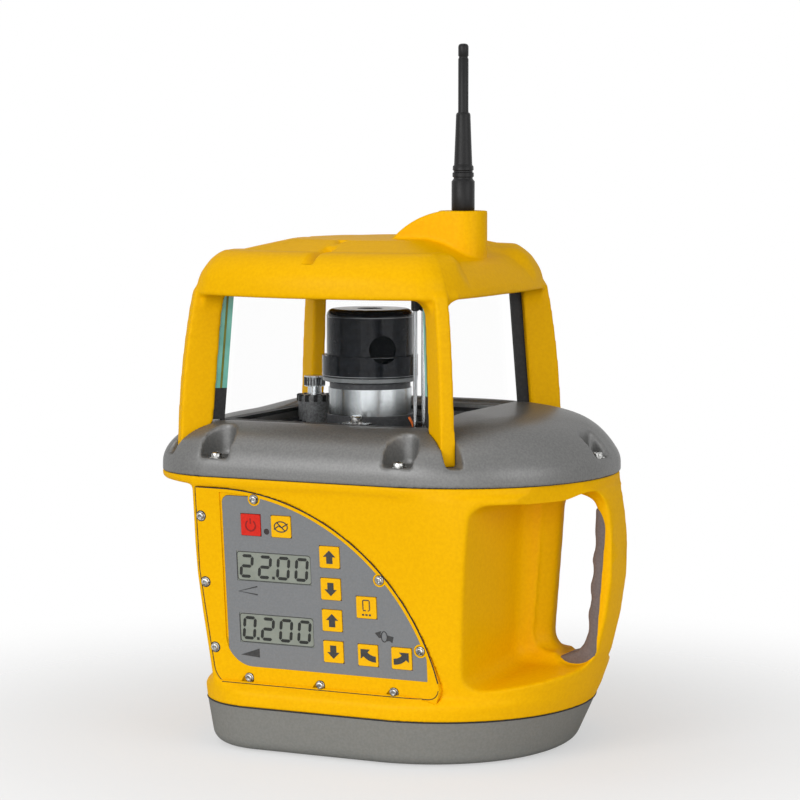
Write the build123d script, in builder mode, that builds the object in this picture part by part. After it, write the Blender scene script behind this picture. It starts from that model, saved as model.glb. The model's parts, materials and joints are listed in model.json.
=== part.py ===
from build123d import *
from collections import namedtuple
from math import acos, atan2, cos, degrees, radians, sin, sqrt
import os

os.makedirs("parts", exist_ok=True)

# Grade laser. Millimetres, +Z up, the control panel faces -Y and the handle is at +X.
# The origin is the mouth of the tripod thread, on the axis of the spinning rotor.

# Heights of the stacked casings
base_height = 25.0
rim_height = 8.0
rim_step = 5.0
wall_height = 106.0
flange_slope = 1.0
flange_band = 4.0
cover_band = 4.0
dome_height = 24.0
seam_z = base_height
rim_z = seam_z + rim_height
wall_low_z = rim_z + rim_step
wall_high_z = wall_low_z + wall_height
flange_z = wall_high_z + flange_slope
housing_top_z = flange_z + flange_band
dome_z = housing_top_z + cover_band
cover_top_z = dome_z + dome_height

# Plan outlines: straight sides, each end one large arc with a corner arc beside it
wall_low_half = 80.8
wall_high_half = 90.5
cover_overhang = 1.5
cover_half = wall_high_half + cover_overhang
Outline = namedtuple("Outline", "left right half_width left_radius right_radius left_corner right_corner")
base_outline = Outline(-82.4, 127.9, 87.0, 150.0, 101.0, 42.0, 80.0)
foot_outline = Outline(-78.4, 116.4, 82.0, 145.0, 96.0, 37.0, 75.0)
rim_outline = base_outline._replace(left=-83.6, right=131.8)
cover_outline = Outline(-108.4, 141.2, cover_half, 160.0, 105.0, 45.0, 85.0)

# The wall leans outwards and its ends are bowed: share of the wall height, left and right reach
wall_ends = [
    (0.00, -72.7, 133.5), (0.16, -75.2, 139.5), (0.35, -78.4, 144.5), (0.54, -81.1, 147.5),
    (0.70, -82.4, 148.3), (0.87, -83.2, 146.5), (1.00, -83.9, 143.3),
]
wall_left_radius = 200.0
wall_right_radius = 105.0
wall_left_corner = 2.0
wall_right_corner = 75.0
base_edge_radius = 8.0
base_wall = 5.0
housing_wall = 6.5
cavity_left_margin = 5.0
cavity_right = 69.0
cavity_corner = 10.0

# Fits
press_gap = 0.02
running_gap = 0.05
slip_gap = 0.3

# Tripod bush, 5/8-11 thread at its minor diameter
bush_radius = 11.0
bush_height = 20.0
thread_minor_radius = 6.85
bush_boss_radius = 19.0

# Casing screws
casing_screw_radius = 2.0
casing_screw_length = 33.0
casing_head_radius = 3.6
casing_head_height = 3.0
casing_post_radius = 6.0
casing_post_height = 14.0
casing_post_left = -46.0
casing_post_right = 65.0
casing_post_y = 67.5

# Handle: scoops cut the housing's right end down to a bar, and a hand hole goes through
scoop_root_z = 49.0
scoop_mouth_z = 38.0
scoop_high_z = 140.0
scoop_low_mouth = 88.0
scoop_high_mouth = 97.0
rear_scoop_low_mouth = 65.0
rear_scoop_high_mouth = 70.0
scoop_low_root = 95.5
scoop_high_root = 99.5
bar_half_depth = 12.0
scoop_fillet = 10.0
scoop_low_fillet = 9.0
hole_low_z = 54.0
hole_high_z = 137.5
hole_low_left = 110.0
hole_high_left = 116.5
hole_width = 22.7
hole_corner = 10.0
hole_flare = 9.0
hole_nose_half = 3.0
grip_shift_x = 5.5
grip_shift_z = 6.0
grip_inset = 0.6
finger_count = 4
finger_pitch = 15.0
finger_low_z = 70.0
finger_radius = 18.0
finger_depth = 0.9

# Control panel, given as X and height on the leaning front wall
panel_thickness = 4.0
panel_ledge = 7.0
panel_top_z = 143.2
panel_top_left = -60.7
panel_bend = (-60.4, 98.0)
panel_bottom_left = (-53.0, 34.2)
panel_bottom_right = (77.5, 34.2)
panel_arc_x = -45.4
panel_arc_radius = 128.2
panel_arc_end = 12.0
panel_corner = 5.0
panel_low_corner = 12.0
overlay_thickness = 0.8
overlay_margin = 2.2
overlay_left = -46.0
overlay_low_z = 46.3
overlay_arc_end = 20.1
overlay_corner = 3.0
overlay_low_corner = 16.0
overlay_notch = 1.1
key_size = 11.6
key_corner = 0.8
key_thickness = 2.8
key_proud = 0.5
key_travel = 0.6
key_positions = {
    "key_power": (-27.4, 124.2),
    "key_manual": (-9.2, 124.2),
    "key_up_upper": (18.8, 109.5),
    "key_down_upper": (18.8, 92.3),
    "key_up_lower": (18.8, 75.3),
    "key_down_lower": (18.8, 58.3),
    "key_mode": (39.3, 83.8),
    "key_turn_left": (39.1, 58.0),
    "key_turn_right": (58.7, 57.8),
}
display_width = 44.5
display_height = 16.2
display_depth = 2.2
display_sunk = 0.5
display_positions = {"display_upper": (-15.0, 101.4), "display_lower": (-15.0, 67.5)}
lamp_position = (-18.2, 121.0)
lamp_radius = 1.6
lamp_depth = 2.5
panel_screw_points = [
    (-57.7, 127.3), (-56.9, 91.2), (-53.0, 55.4),
    (-32.9, 40.0), (9.8, 39.2), (53.2, 39.0),
    (69.4, 62.5), (47.3, 98.9), (-25.0, 138.1),
]
panel_screw_radius = 1.4
panel_screw_head_radius = 2.5
panel_screw_head_height = 1.6
panel_screw_length = 6.0
board_thickness = 1.6
board_width = 76.0
board_height = 58.0
board_centre = (-2.0, 75.0)
board_margin = 4.0
board_standoff = 7.0
board_post_radius = 2.5

# Upper cover dome and the lantern on it
dome_left_inset = 42.0
dome_right_inset = 50.0
dome_side_inset = 27.0
dome_steps = 5
cover_inner_inset = 7.0
cover_inner_height = 7.0
deck_half = 56.5
deck_ledge = 6.0
deck_thickness = 3.0
deck_top_z = 169.0
deck_hole_radius = 40.0
deck_corner = 6.0
cover_screw_places = [
    (-49.0, -87.0, -90.0), (59.0, -87.0, -90.0), (59.0, 87.0, 90.0),
    (-49.0, 87.0, 90.0), (135.0, 0.0, 0.0), (-99.5, 0.0, 180.0),
]
cover_pocket_width = 17.0
cover_pocket_depth = 8.0
cover_pocket_reach = 30.0
cover_pocket_corner = 3.0
cover_pocket_z = 159.0
cover_screw_head_radius = 3.2
cover_screw_head_height = 3.0
cover_screw_radius = 1.8
cover_screw_length = 12.0

# Windows lean inwards towards the top
window_margin = 3.5
window_lean_in = 4.0
window_low_half = deck_half + window_margin
window_high_half = window_low_half - window_lean_in
window_low_z = cover_top_z
window_high_z = 247.5
window_thickness = 3.0
window_corner_gap = 1.2
seal_inner = 4.5
seal_outer = 1.2
seal_height = 2.0

# Guard cage
cage_x = 2.0
roof_half = 88.0
roof_corner_half = 73.0
roof_corner_radius = 26.0
roof_low_z = 245.0
roof_height = 24.0
roof_edge_radius = 19.0
roof_skirt = 5.0
roof_ceiling = 4.5
plateau_half = 62.0
plateau_corner_half = 55.0
plateau_height = 5.5
plateau_corner = 14.0
plateau_slope = 21.0
sight_width = 8.0
sight_depth = 2.6
sight_length = 24.0
sight_front_x = 3.0
fin_thickness = 8.0
fin_angle = 43.5
fin_hip_inner = 84.0
fin_hip_middle = (97.0, 262.0)
fin_top_outer = 101.2
fin_middle_outer = 108.6
fin_foot_outer = 110.5
fin_seal_gap = 5.5
fin_top_inner = (window_high_half + seal_outer) * sqrt(2) + fin_seal_gap
fin_waist_inner = (window_low_half + seal_outer) * sqrt(2) + fin_seal_gap
fin_foot_inner = 96.0
fin_middle_z = 200.0
fin_waist_z = 178.0
fin_knee_z = 168.0
fin_foot_z = 159.0
boss_x = 56.2
boss_radius = 13.2
boss_top_z = 290.0
fairing_start_x = 19.2
fairing_middle = (30.2, 283.3)
fairing_top_x = 49.0
roof_hollow_half = 49.0
roof_hollow_z = 262.0

# Antenna
antenna_length = 90.0
antenna_socket_radius = 5.0
antenna_socket_height = 14.0
antenna_base_radius = 6.3
antenna_base_height = 17.5
antenna_ring_radius = 5.8
antenna_ring_height = 6.5
antenna_sleeve_low_radius = 5.1
antenna_sleeve_high_radius = 3.8
antenna_sleeve_height = 29.3
antenna_whip_radius = 2.8
antenna_tip_chamfer = 0.8
antenna_stud_radius = 2.5
antenna_stud_length = 10.0

# Rotor head
rotor_cap_radius = 24.0
rotor_cap_low_z = 210.0
rotor_cap_high_z = 235.5
rotor_cap_wall = 2.0
rotor_cap_edge = 4.0
rotor_ring_radius = 26.5
rotor_ring_low_z = 198.5
rotor_plate_radius = 24.5
rotor_plate_height = 3.0
rotor_floor = 3.0
rotor_pocket_radius = 20.0
beam_z = 214.0
beam_radius = 7.6
beam_azimuth = 43.0
lens_thickness = 1.6
prism_size = 15.0
shaft_radius = 8.0
shaft_bore = 5.0
shaft_low_z = 128.0
encoder_radius = 20.0
encoder_thickness = 1.0
magnet_radius = 12.0
magnet_low_z = 146.0
magnet_height = 15.0

# Spindle on its gimbal
spindle_radius = 23.0
spindle_bore = 17.0
spindle_low_z = 104.0
spindle_high_z = 192.0
spindle_lid = 4.0
bearing_height = 8.0
bearing_high_z = 180.0
bearing_low_z = 130.0
laser_radius = 15.0
laser_height = 14.0
stator_gap = 0.4
pivot_z = 120.0
gimbal_inner = 26.0
gimbal_outer = 34.0
gimbal_height = 10.0
pivot_radius = 2.5
trunnion_inner = 18.0
trunnion_outer = 33.0
gimbal_pin_inner = 27.5
post_inner = 36.0
post_outer = 45.0
post_half_width = 7.0
post_top_margin = 6.0

# Chassis and the two slope drives
chassis_low_z = 82.0
chassis_thickness = 4.0
chassis_left = -50.0
chassis_right = 65.0
chassis_front = -58.0
chassis_rear = 75.0
chassis_corner = 8.0
leg_radius = 4.5
leg_left = -43.0
leg_right = 59.0
leg_front_y = -50.0
leg_rear_y = -8.0
arm_width = 6.0
cross_arm_reach = 59.0
cross_nut_y = 57.0
cross_screw_y = 66.0
long_arm_z = 140.0
long_arm_reach = 47.0
long_nut_x = -43.0
long_screw_y = 17.0
drive_nut_height = 17.0
drive_screw_radius = 3.0
drive_motor_radius = 7.0
cross_motor_height = 13.0
long_motor_height = 31.0
drive_screw_sunk = 6.0
cross_screw_top_z = 152.0
long_screw_top_z = 162.0
slot_half_height = 5.8
nut_half_length = 5.0
long_slot_half = 8.0
long_relief_z = 164.0
long_relief_gap = 3.0
nut_wall = 5.0
cross_slot_margin = 2.0

# Adjuster beside the rotor
adjuster_y = 21.5
adjuster_post_radius = 9.3
adjuster_post_height = 10.0
adjuster_collar_radius = 9.6
adjuster_edge_gap = 1.4
adjuster_x = adjuster_collar_radius + adjuster_edge_gap - deck_half
adjuster_collar_height = 5.0
adjuster_neck_radius = 3.9
adjuster_neck_height = 5.0
adjuster_knob_radius = 5.8
adjuster_knob_height = 6.0
adjuster_pin_radius = 2.0
knurl_count = 30
knurl_radius = 0.35

# Battery bay behind the rear wall
cell_radius = 13.1
cell_length = 50.0
cell_gap = 1.0
cell_sunk = 0.6
battery_tray = 2.0
battery_low_z = 41.0
battery_x = 6.5
battery_rear_y = 68.0
bay_door_width = 108.0
bay_door_low_z = 40.0
bay_door_high_z = 80.0
bay_door_thickness = 4.0
bay_door_corner = 4.0
bay_door_ledge = 3.0
bay_pin_radius = 1.2
bay_pin_length = 3.0
latch_radius = 9.0
latch_height = 3.0
latch_wing_width = 5.0
latch_wing_inset = 1.0
latch_wing_height = 5.0
latch_shaft_radius = 3.0
latch_tongue_length = 9.0
latch_tongue_thickness = 2.0
latch_drop = 13.0
pillar_radius = 6.0


def end_arcs(end, half, end_radius, corner):
    """Points of one outline end: on the end arc, at its stop, mid corner, and on the straight side."""
    sign = 1 if end > 0 else -1
    end_centre = Vector(end - sign * end_radius, 0)
    reach = sqrt((end_radius - corner) ** 2 - (half - corner) ** 2)
    corner_centre = Vector(end_centre.X + sign * reach, half - corner)
    outward = (corner_centre - end_centre).normalized()
    up = Vector(0, 1)
    end_middle = end_centre + (outward + Vector(sign, 0)).normalized() * end_radius
    end_stop = end_centre + outward * end_radius
    corner_middle = corner_centre + (outward + up).normalized() * corner
    side_stop = corner_centre + up * corner
    return end_middle, end_stop, corner_middle, side_stop


def draw_outline(shape, inset=0.0):
    """Draw a plan outline in the current sketch, drawn in by the inset."""
    half = shape.half_width - inset
    left = shape.left + inset
    right = shape.right - inset
    left_points = end_arcs(left, half, shape.left_radius - inset, shape.left_corner - inset)
    right_points = end_arcs(right, half, shape.right_radius - inset, shape.right_corner - inset)
    with BuildLine() as boundary:
        ThreePointArc((left, 0), left_points[0], left_points[1])
        ThreePointArc(left_points[1], left_points[2], left_points[3])
        Line(left_points[3], right_points[3])
        ThreePointArc(right_points[3], right_points[2], right_points[1])
        ThreePointArc(right_points[1], right_points[0], (right, 0))
        mirror(about=Plane.XZ)
    make_face(boundary.edges())


def wall_outline(share, left, right):
    """Plan of the leaning wall at a share of its height."""
    half = wall_low_half + share * (wall_high_half - wall_low_half)
    return Outline(
        left, right, half, wall_left_radius, wall_right_radius, wall_left_corner, wall_right_corner
    )


wall_outlines = [wall_outline(*ends) for ends in wall_ends]
wall_low_outline = wall_outlines[0]
wall_high_outline = wall_outlines[-1]


def corner_x(shape):
    """X where the straight side of an outline meets its left corner."""
    return end_arcs(shape.left, shape.half_width, shape.left_radius, shape.left_corner)[3].X


def wall_at(z, low, high):
    """Straight-line size of the leaning wall at a height, from its low and high values."""
    return low + (high - low) * (z - wall_low_z) / wall_height


def draw_cavity(z):
    """Rectangle inside the housing walls at a height."""
    left = wall_at(z, corner_x(wall_low_outline), corner_x(wall_high_outline)) + cavity_left_margin
    half = wall_at(z, wall_low_half, wall_high_half) - housing_wall
    with Locations(((left + cavity_right) / 2, 0)):
        RectangleRounded(cavity_right - left, 2 * half, cavity_corner)


# The leaning front and rear walls, as planes at mid height
panel_z = (wall_low_z + wall_high_z) / 2
panel_y = (wall_low_half + wall_high_half) / 2
lean = atan2(wall_high_half - wall_low_half, wall_height)
front_plane = Plane(origin=(0, -panel_y, panel_z), x_dir=(1, 0, 0), z_dir=(0, -cos(lean), -sin(lean)))
rear_plane = Plane(origin=(0, panel_y, panel_z), x_dir=(-1, 0, 0), z_dir=(0, cos(lean), -sin(lean)))


def on_wall(point):
    """Local point on a leaning wall from X and height."""
    return (point[0], (point[1] - panel_z) / cos(lean))


def arc_point(radius, angle):
    """X and height on an arc round the centre shared by panel and overlay."""
    centre_z = panel_top_z - panel_arc_radius
    return (panel_arc_x + radius * cos(radians(angle)), centre_z + radius * sin(radians(angle)))


def draw_panel(inset=0.0):
    """Panel outline: straight foot and left side, level top and one long arc."""
    arc_middle = arc_point(panel_arc_radius, (90 + panel_arc_end) / 2)
    arc_end = arc_point(panel_arc_radius, panel_arc_end)
    with BuildLine() as boundary:
        Line(on_wall((panel_top_left, panel_top_z)), on_wall((panel_arc_x, panel_top_z)))
        ThreePointArc(on_wall((panel_arc_x, panel_top_z)), on_wall(arc_middle), on_wall(arc_end))
        Line(on_wall(arc_end), on_wall(panel_bottom_right))
        Line(on_wall(panel_bottom_right), on_wall(panel_bottom_left))
        Line(on_wall(panel_bottom_left), on_wall(panel_bend))
        Line(on_wall(panel_bend), on_wall((panel_top_left, panel_top_z)))
    with BuildSketch(Plane.XY, mode=Mode.PRIVATE) as panel_shape:
        make_face(boundary.edges())
        corners = panel_shape.vertices().sort_by(Axis.Y)
        low_left, low_right = corners[:2].sort_by(Axis.X)
        top_left = corners[-2:].sort_by(Axis.X)[0]
        fillet(low_left, panel_low_corner)
        fillet((low_right, top_left), panel_corner)
        if inset:
            offset(amount=-inset, mode=Mode.REPLACE)
    add(panel_shape.sketch)


def draw_slot(shift_x=0.0, shift_z=0.0, flare=0.0):
    """Slanted hand hole seen from the front, moved by the shifts and widened on the left by the flare."""
    with BuildLine() as boundary:
        Polyline(
            (hole_low_left + shift_x - flare, hole_low_z + shift_z),
            (hole_high_left + shift_x - flare, hole_high_z + shift_z),
            (hole_high_left + hole_width + shift_x, hole_high_z + shift_z),
            (hole_low_left + hole_width + shift_x, hole_low_z + shift_z),
            close=True,
        )
    with BuildSketch(Plane.XY, mode=Mode.PRIVATE) as slot:
        make_face(boundary.edges())
        fillet(slot.vertices(), hole_corner)
    add(slot.sketch)


def finish(part, name):
    """Label a finished piece and write it."""
    part.label = name
    export_step(part, "parts/" + name + ".step")


# Base cover with the tripod boss, battery pillars and screw holes
casing_screw_points = [
    (x, y) for x in (casing_post_left, casing_post_right) for y in (-casing_post_y, casing_post_y)
]
front_row_y = battery_rear_y - 3 * cell_radius - cell_gap
rear_row_y = battery_rear_y - cell_radius
cell_shift = (cell_length + cell_gap) / 2
cell_centres = [
    (x, y) for x in (battery_x - cell_shift, battery_x + cell_shift) for y in (front_row_y, rear_row_y)
]
with BuildPart() as base_cover:
    with BuildSketch(Plane.XY):
        draw_outline(foot_outline)
    with BuildSketch(Plane.XY.offset(seam_z)):
        draw_outline(base_outline)
    loft(ruled=True)
    fillet(base_cover.faces().sort_by(Axis.Z)[0].edges(), base_edge_radius)
    with BuildSketch(Plane.XY.offset(base_wall)):
        draw_outline(foot_outline, base_wall)
    extrude(amount=seam_z - base_wall, mode=Mode.SUBTRACT)
    with BuildSketch(Plane.XY.offset(base_wall)):
        Circle(bush_boss_radius)
    extrude(amount=bush_height - base_wall)
    with BuildSketch(Plane.XY.offset(base_wall)):
        with Locations(*cell_centres):
            Circle(pillar_radius)
    extrude(amount=battery_low_z - base_wall)
    with BuildSketch(Plane.XY.offset(base_wall)):
        with Locations(*casing_screw_points):
            Circle(casing_post_radius)
    extrude(amount=seam_z - base_wall)
    with BuildSketch(Plane.XY):
        Circle(bush_radius + press_gap)
    extrude(amount=bush_height, mode=Mode.SUBTRACT)
    with BuildSketch(Plane.XY):
        with Locations(*casing_screw_points):
            Circle(casing_screw_radius + running_gap)
    extrude(amount=seam_z, mode=Mode.SUBTRACT)
    with BuildSketch(Plane.XY):
        with Locations(*casing_screw_points):
            Circle(casing_head_radius + slip_gap)
    extrude(amount=casing_head_height + slip_gap, mode=Mode.SUBTRACT)
finish(base_cover.part, "base_cover")

# Tripod bush
with BuildPart() as tripod_bush:
    with BuildSketch(Plane.XY):
        Circle(bush_radius)
        Circle(thread_minor_radius, mode=Mode.SUBTRACT)
    extrude(amount=bush_height)
finish(tripod_bush.part, "tripod_bush")

# Screws that join the base to the housing
with BuildPart() as base_screws:
    with BuildSketch(Plane.XY.offset(slip_gap)):
        with Locations(*casing_screw_points):
            Circle(casing_head_radius)
    extrude(amount=casing_head_height)
    with BuildSketch(Plane.XY.offset(slip_gap + casing_head_height)):
        with Locations(*casing_screw_points):
            Circle(casing_screw_radius)
    extrude(amount=casing_screw_length)
finish(base_screws.part, "base_screws")

# Scoops that leave the handle bar, each with a sloping floor and rounded where the hand goes
far_y = 2 * wall_high_half
far_x = 2 * wall_high_outline.right
scoop_depth = cover_outline.half_width - bar_half_depth
floor_slope = atan2(scoop_root_z - scoop_mouth_z, scoop_depth)
floor_plane = Plane(
    origin=(0, -bar_half_depth, scoop_root_z), x_dir=(1, 0, 0), z_dir=(0, -sin(floor_slope), cos(floor_slope))
)
ceiling_plane = Plane(origin=(0, -bar_half_depth, scoop_high_z))


def draw_scoop(mouth, root):
    """Plan of one scoop from the bar face outwards: a side wall from the mouth to the root."""
    slope = (root - mouth) / scoop_depth
    with BuildLine() as boundary:
        Polyline(
            (root - slope * far_y, -far_y), (root, 0), (far_x, 0), (far_x, -far_y),
            close=True,
        )
    make_face(boundary.edges())


def make_scoop(low_mouth, high_mouth):
    """Cutter for one side of the handle, made for the front."""
    with BuildPart(mode=Mode.PRIVATE) as scoop:
        with BuildSketch(floor_plane):
            draw_scoop(low_mouth, scoop_low_root)
        with BuildSketch(ceiling_plane):
            draw_scoop(high_mouth, scoop_high_root)
        loft(ruled=True)
        bar_face = scoop.faces().sort_by(Axis.Y)[-1]
        corner_edges = [edge for edge in bar_face.edges() if edge.center().X < scoop_high_root]
        fillet(corner_edges, scoop_fillet)
        low_edges = scoop.faces().sort_by(Axis.Z)[0].edges()
        high_edges = scoop.faces().sort_by(Axis.Z)[-1].edges()
        outer_edges = scoop.faces().sort_by(Axis.X)[-1].edges() + scoop.faces().sort_by(Axis.Y)[0].edges()
        hand_edges = [edge for edge in low_edges + high_edges if edge not in outer_edges]
        fillet(hand_edges, scoop_low_fillet)
    return scoop.part


# Main housing: leaning barrel, hollow, with the handle at its right end
wall_levels = [
    (wall_low_z + ends[0] * wall_height, shape) for ends, shape in zip(wall_ends, wall_outlines)
]
housing_levels = [(seam_z, base_outline), (rim_z, rim_outline)] + wall_levels
housing_levels += [(flange_z, cover_outline), (housing_top_z, cover_outline)]
bay_centre = (-battery_x, ((bay_door_low_z + bay_door_high_z) / 2 - panel_z) / cos(lean))
bay_door_height = (bay_door_high_z - bay_door_low_z) / cos(lean)
bay_pin_local_y = bay_centre[1] - bay_door_height / 2 + bay_door_thickness / 2
bay_pin_centre = rear_plane.from_local_coords((-battery_x, bay_pin_local_y, -bay_door_thickness / 2))
bay_pin_plane = Plane(origin=bay_pin_centre, x_dir=(0, 1, 0), z_dir=(1, 0, 0))
bay_pin_reach = bay_door_width / 2 + bay_pin_length
panel_screw_marks = [on_wall(point) for point in panel_screw_points]
cover_screw_points = [(x, y) for x, y, angle in cover_screw_places]
with BuildPart() as main_housing:
    for level, shape in housing_levels:
        with BuildSketch(Plane.XY.offset(level)):
            draw_outline(shape)
    loft(ruled=True)
    add(make_scoop(scoop_low_mouth, scoop_high_mouth), mode=Mode.SUBTRACT)
    mirror(make_scoop(rear_scoop_low_mouth, rear_scoop_high_mouth), about=Plane.XZ, mode=Mode.SUBTRACT)
    with BuildSketch(Plane.XZ):
        draw_slot()
        draw_slot(grip_shift_x, -grip_shift_z)
    extrude(amount=2 * bar_half_depth, both=True, mode=Mode.SUBTRACT)
    for side in (-1, 1):
        with BuildSketch(Plane.XZ.offset(side * hole_nose_half)):
            draw_slot()
        with BuildSketch(Plane.XZ.offset(side * bar_half_depth)):
            draw_slot(flare=hole_flare)
        loft(ruled=True, mode=Mode.SUBTRACT)
    for level in (seam_z, housing_top_z):
        with BuildSketch(Plane.XY.offset(level)):
            draw_cavity(level)
    loft(mode=Mode.SUBTRACT)
    with BuildSketch(Plane.XY.offset(seam_z)):
        with Locations(*casing_screw_points):
            Circle(casing_post_radius)
    extrude(amount=casing_post_height)
    with BuildSketch(Plane.XY.offset(seam_z)):
        with Locations(*casing_screw_points):
            Circle(casing_screw_radius + press_gap)
    extrude(amount=casing_post_height, mode=Mode.SUBTRACT)
    with BuildSketch(front_plane):
        draw_panel()
    extrude(amount=-panel_thickness, mode=Mode.SUBTRACT)
    with BuildSketch(front_plane):
        draw_panel(panel_ledge)
    extrude(amount=-2 * housing_wall, mode=Mode.SUBTRACT)
    with BuildSketch(front_plane):
        with Locations(*panel_screw_marks):
            Circle(panel_screw_radius + press_gap)
    extrude(amount=-2 * housing_wall, mode=Mode.SUBTRACT)
    with BuildSketch(rear_plane):
        with Locations(bay_centre):
            RectangleRounded(
                bay_door_width + 2 * slip_gap, bay_door_height + 2 * slip_gap, bay_door_corner + slip_gap
            )
        with Locations((bay_centre[0], bay_centre[1] - bay_door_height / 4)):
            Rectangle(bay_door_width + 2 * slip_gap, bay_door_height / 2 + 2 * slip_gap)
    extrude(amount=-bay_door_thickness, mode=Mode.SUBTRACT)
    with BuildSketch(rear_plane):
        with Locations(bay_centre):
            RectangleRounded(
                bay_door_width - 2 * bay_door_ledge, bay_door_height - 2 * bay_door_ledge, bay_door_corner
            )
    extrude(amount=-2 * housing_wall, mode=Mode.SUBTRACT)
    with BuildSketch(bay_pin_plane):
        Circle(bay_pin_radius + running_gap)
    extrude(amount=bay_pin_reach + slip_gap, both=True, mode=Mode.SUBTRACT)
    with BuildSketch(Plane.XY.offset(housing_top_z)):
        with Locations(*cover_screw_points):
            Circle(cover_screw_radius + press_gap)
    extrude(amount=cover_pocket_z - cover_screw_length - housing_top_z - slip_gap, mode=Mode.SUBTRACT)
finish(main_housing.part, "main_housing")

# Rubber grip round the bar side of the hand hole, scalloped for the fingers
hole_slope = (hole_high_left - hole_low_left) / (hole_high_z - hole_low_z)
finger_points = []
for finger in range(finger_count):
    finger_z = finger_low_z + finger * finger_pitch
    edge_x = hole_low_left + hole_width + hole_slope * (finger_z - hole_low_z)
    finger_points.append((edge_x - finger_radius + finger_depth, finger_z))
with BuildPart() as handle_grip:
    with BuildSketch(Plane.XZ):
        draw_slot(grip_shift_x, -grip_shift_z)
        with BuildSketch(Plane.XY, mode=Mode.PRIVATE) as open_hole:
            draw_slot()
        add(open_hole.sketch, mode=Mode.SUBTRACT)
        with Locations(*finger_points):
            Circle(finger_radius, mode=Mode.SUBTRACT)
    extrude(amount=bar_half_depth - grip_inset, both=True)
finish(handle_grip.part, "handle_grip")


def draw_overlay(inset=0.0):
    """Keypad overlay: straight left side and foot, one long arc, notched round the panel screws."""
    arc_radius = panel_arc_radius - overlay_margin
    arc_start = degrees(acos((overlay_left - panel_arc_x) / arc_radius))
    arc_middle = (arc_start + overlay_arc_end) / 2
    arc_points = [arc_point(arc_radius, angle) for angle in (arc_start, arc_middle, overlay_arc_end)]
    low_left = (overlay_left, overlay_low_z)
    low_right = (arc_points[2][0], overlay_low_z)
    with BuildLine() as boundary:
        Line(on_wall(low_left), on_wall(arc_points[0]))
        ThreePointArc(*[on_wall(point) for point in arc_points])
        Line(on_wall(arc_points[2]), on_wall(low_right))
        Line(on_wall(low_right), on_wall(low_left))
    with BuildSketch(Plane.XY, mode=Mode.PRIVATE) as overlay_shape:
        make_face(boundary.edges())
        corners = overlay_shape.vertices().sort_by(Axis.Y)
        foot_left, foot_right = corners[:2].sort_by(Axis.X)
        fillet(foot_left, overlay_low_corner)
        fillet((foot_right, corners[-1]), overlay_corner)
        with Locations(*panel_screw_marks):
            Circle(panel_screw_head_radius + overlay_notch, mode=Mode.SUBTRACT)
        if inset:
            offset(amount=-inset, mode=Mode.REPLACE)
    add(overlay_shape.sketch)


# Control panel plate
key_marks = [on_wall(point) for point in key_positions.values()]
display_marks = [on_wall(point) for point in display_positions.values()]
board_mark = on_wall(board_centre)
key_pocket = key_size + 2 * slip_gap
key_pocket_depth = key_thickness - key_proud + key_travel + slip_gap
with BuildPart() as control_panel:
    with BuildSketch(front_plane):
        draw_panel(slip_gap)
    extrude(amount=-panel_thickness)
    with BuildSketch(front_plane.offset(-panel_thickness)):
        with Locations(board_mark):
            with GridLocations(board_width - 2 * board_margin, board_height - 2 * board_margin, 2, 2):
                Circle(board_post_radius)
    extrude(amount=-board_standoff)
    with BuildSketch(front_plane):
        draw_overlay()
    extrude(amount=-overlay_thickness, mode=Mode.SUBTRACT)
    with BuildSketch(front_plane):
        with Locations(*key_marks):
            Rectangle(key_pocket, key_pocket)
    extrude(amount=-key_pocket_depth, mode=Mode.SUBTRACT)
    with BuildSketch(front_plane):
        with Locations(*display_marks):
            Rectangle(display_width + 2 * running_gap, display_height + 2 * running_gap)
    extrude(amount=-display_sunk - display_depth, mode=Mode.SUBTRACT)
    with BuildSketch(front_plane):
        with Locations(on_wall(lamp_position)):
            Circle(lamp_radius + running_gap)
    extrude(amount=-lamp_depth, mode=Mode.SUBTRACT)
    with BuildSketch(front_plane):
        with Locations(*panel_screw_marks):
            Circle(panel_screw_radius + running_gap)
    extrude(amount=-panel_thickness, mode=Mode.SUBTRACT)
    with BuildSketch(front_plane):
        with Locations(*panel_screw_marks):
            Circle(panel_screw_head_radius + slip_gap)
    extrude(amount=-panel_screw_head_height, mode=Mode.SUBTRACT)
finish(control_panel.part, "control_panel")

# Keypad overlay with openings for keys, displays and lamp
with BuildPart() as keypad_overlay:
    with BuildSketch(front_plane):
        draw_overlay(running_gap)
        with Locations(*key_marks):
            Rectangle(key_pocket, key_pocket, mode=Mode.SUBTRACT)
        with Locations(*display_marks):
            Rectangle(display_width + 2 * running_gap, display_height + 2 * running_gap, mode=Mode.SUBTRACT)
        with Locations(on_wall(lamp_position)):
            Circle(lamp_radius + running_gap, mode=Mode.SUBTRACT)
    extrude(amount=-overlay_thickness)
finish(keypad_overlay.part, "keypad_overlay")

# Panel screws
with BuildPart() as panel_screws:
    with BuildSketch(front_plane):
        with Locations(*panel_screw_marks):
            Circle(panel_screw_head_radius)
    extrude(amount=-panel_screw_head_height)
    with BuildSketch(front_plane.offset(-panel_screw_head_height)):
        with Locations(*panel_screw_marks):
            Circle(panel_screw_radius)
    extrude(amount=-panel_screw_length)
finish(panel_screws.part, "panel_screws")

# Displays
for name, position in display_positions.items():
    with BuildPart() as display:
        with BuildSketch(front_plane.offset(-display_sunk)):
            with Locations(on_wall(position)):
                Rectangle(display_width, display_height)
        extrude(amount=-display_depth)
    finish(display.part, name)

# Status lamp
with BuildPart() as status_lamp:
    with BuildSketch(front_plane):
        with Locations(on_wall(lamp_position)):
            Circle(lamp_radius)
    extrude(amount=-lamp_depth)
finish(status_lamp.part, "status_lamp")

# Keys
for name, position in key_positions.items():
    with BuildPart() as key:
        with BuildSketch(front_plane.offset(key_proud)):
            with Locations(on_wall(position)):
                RectangleRounded(key_size, key_size, key_corner)
        extrude(amount=-key_thickness)
    finish(key.part, name)

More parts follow.
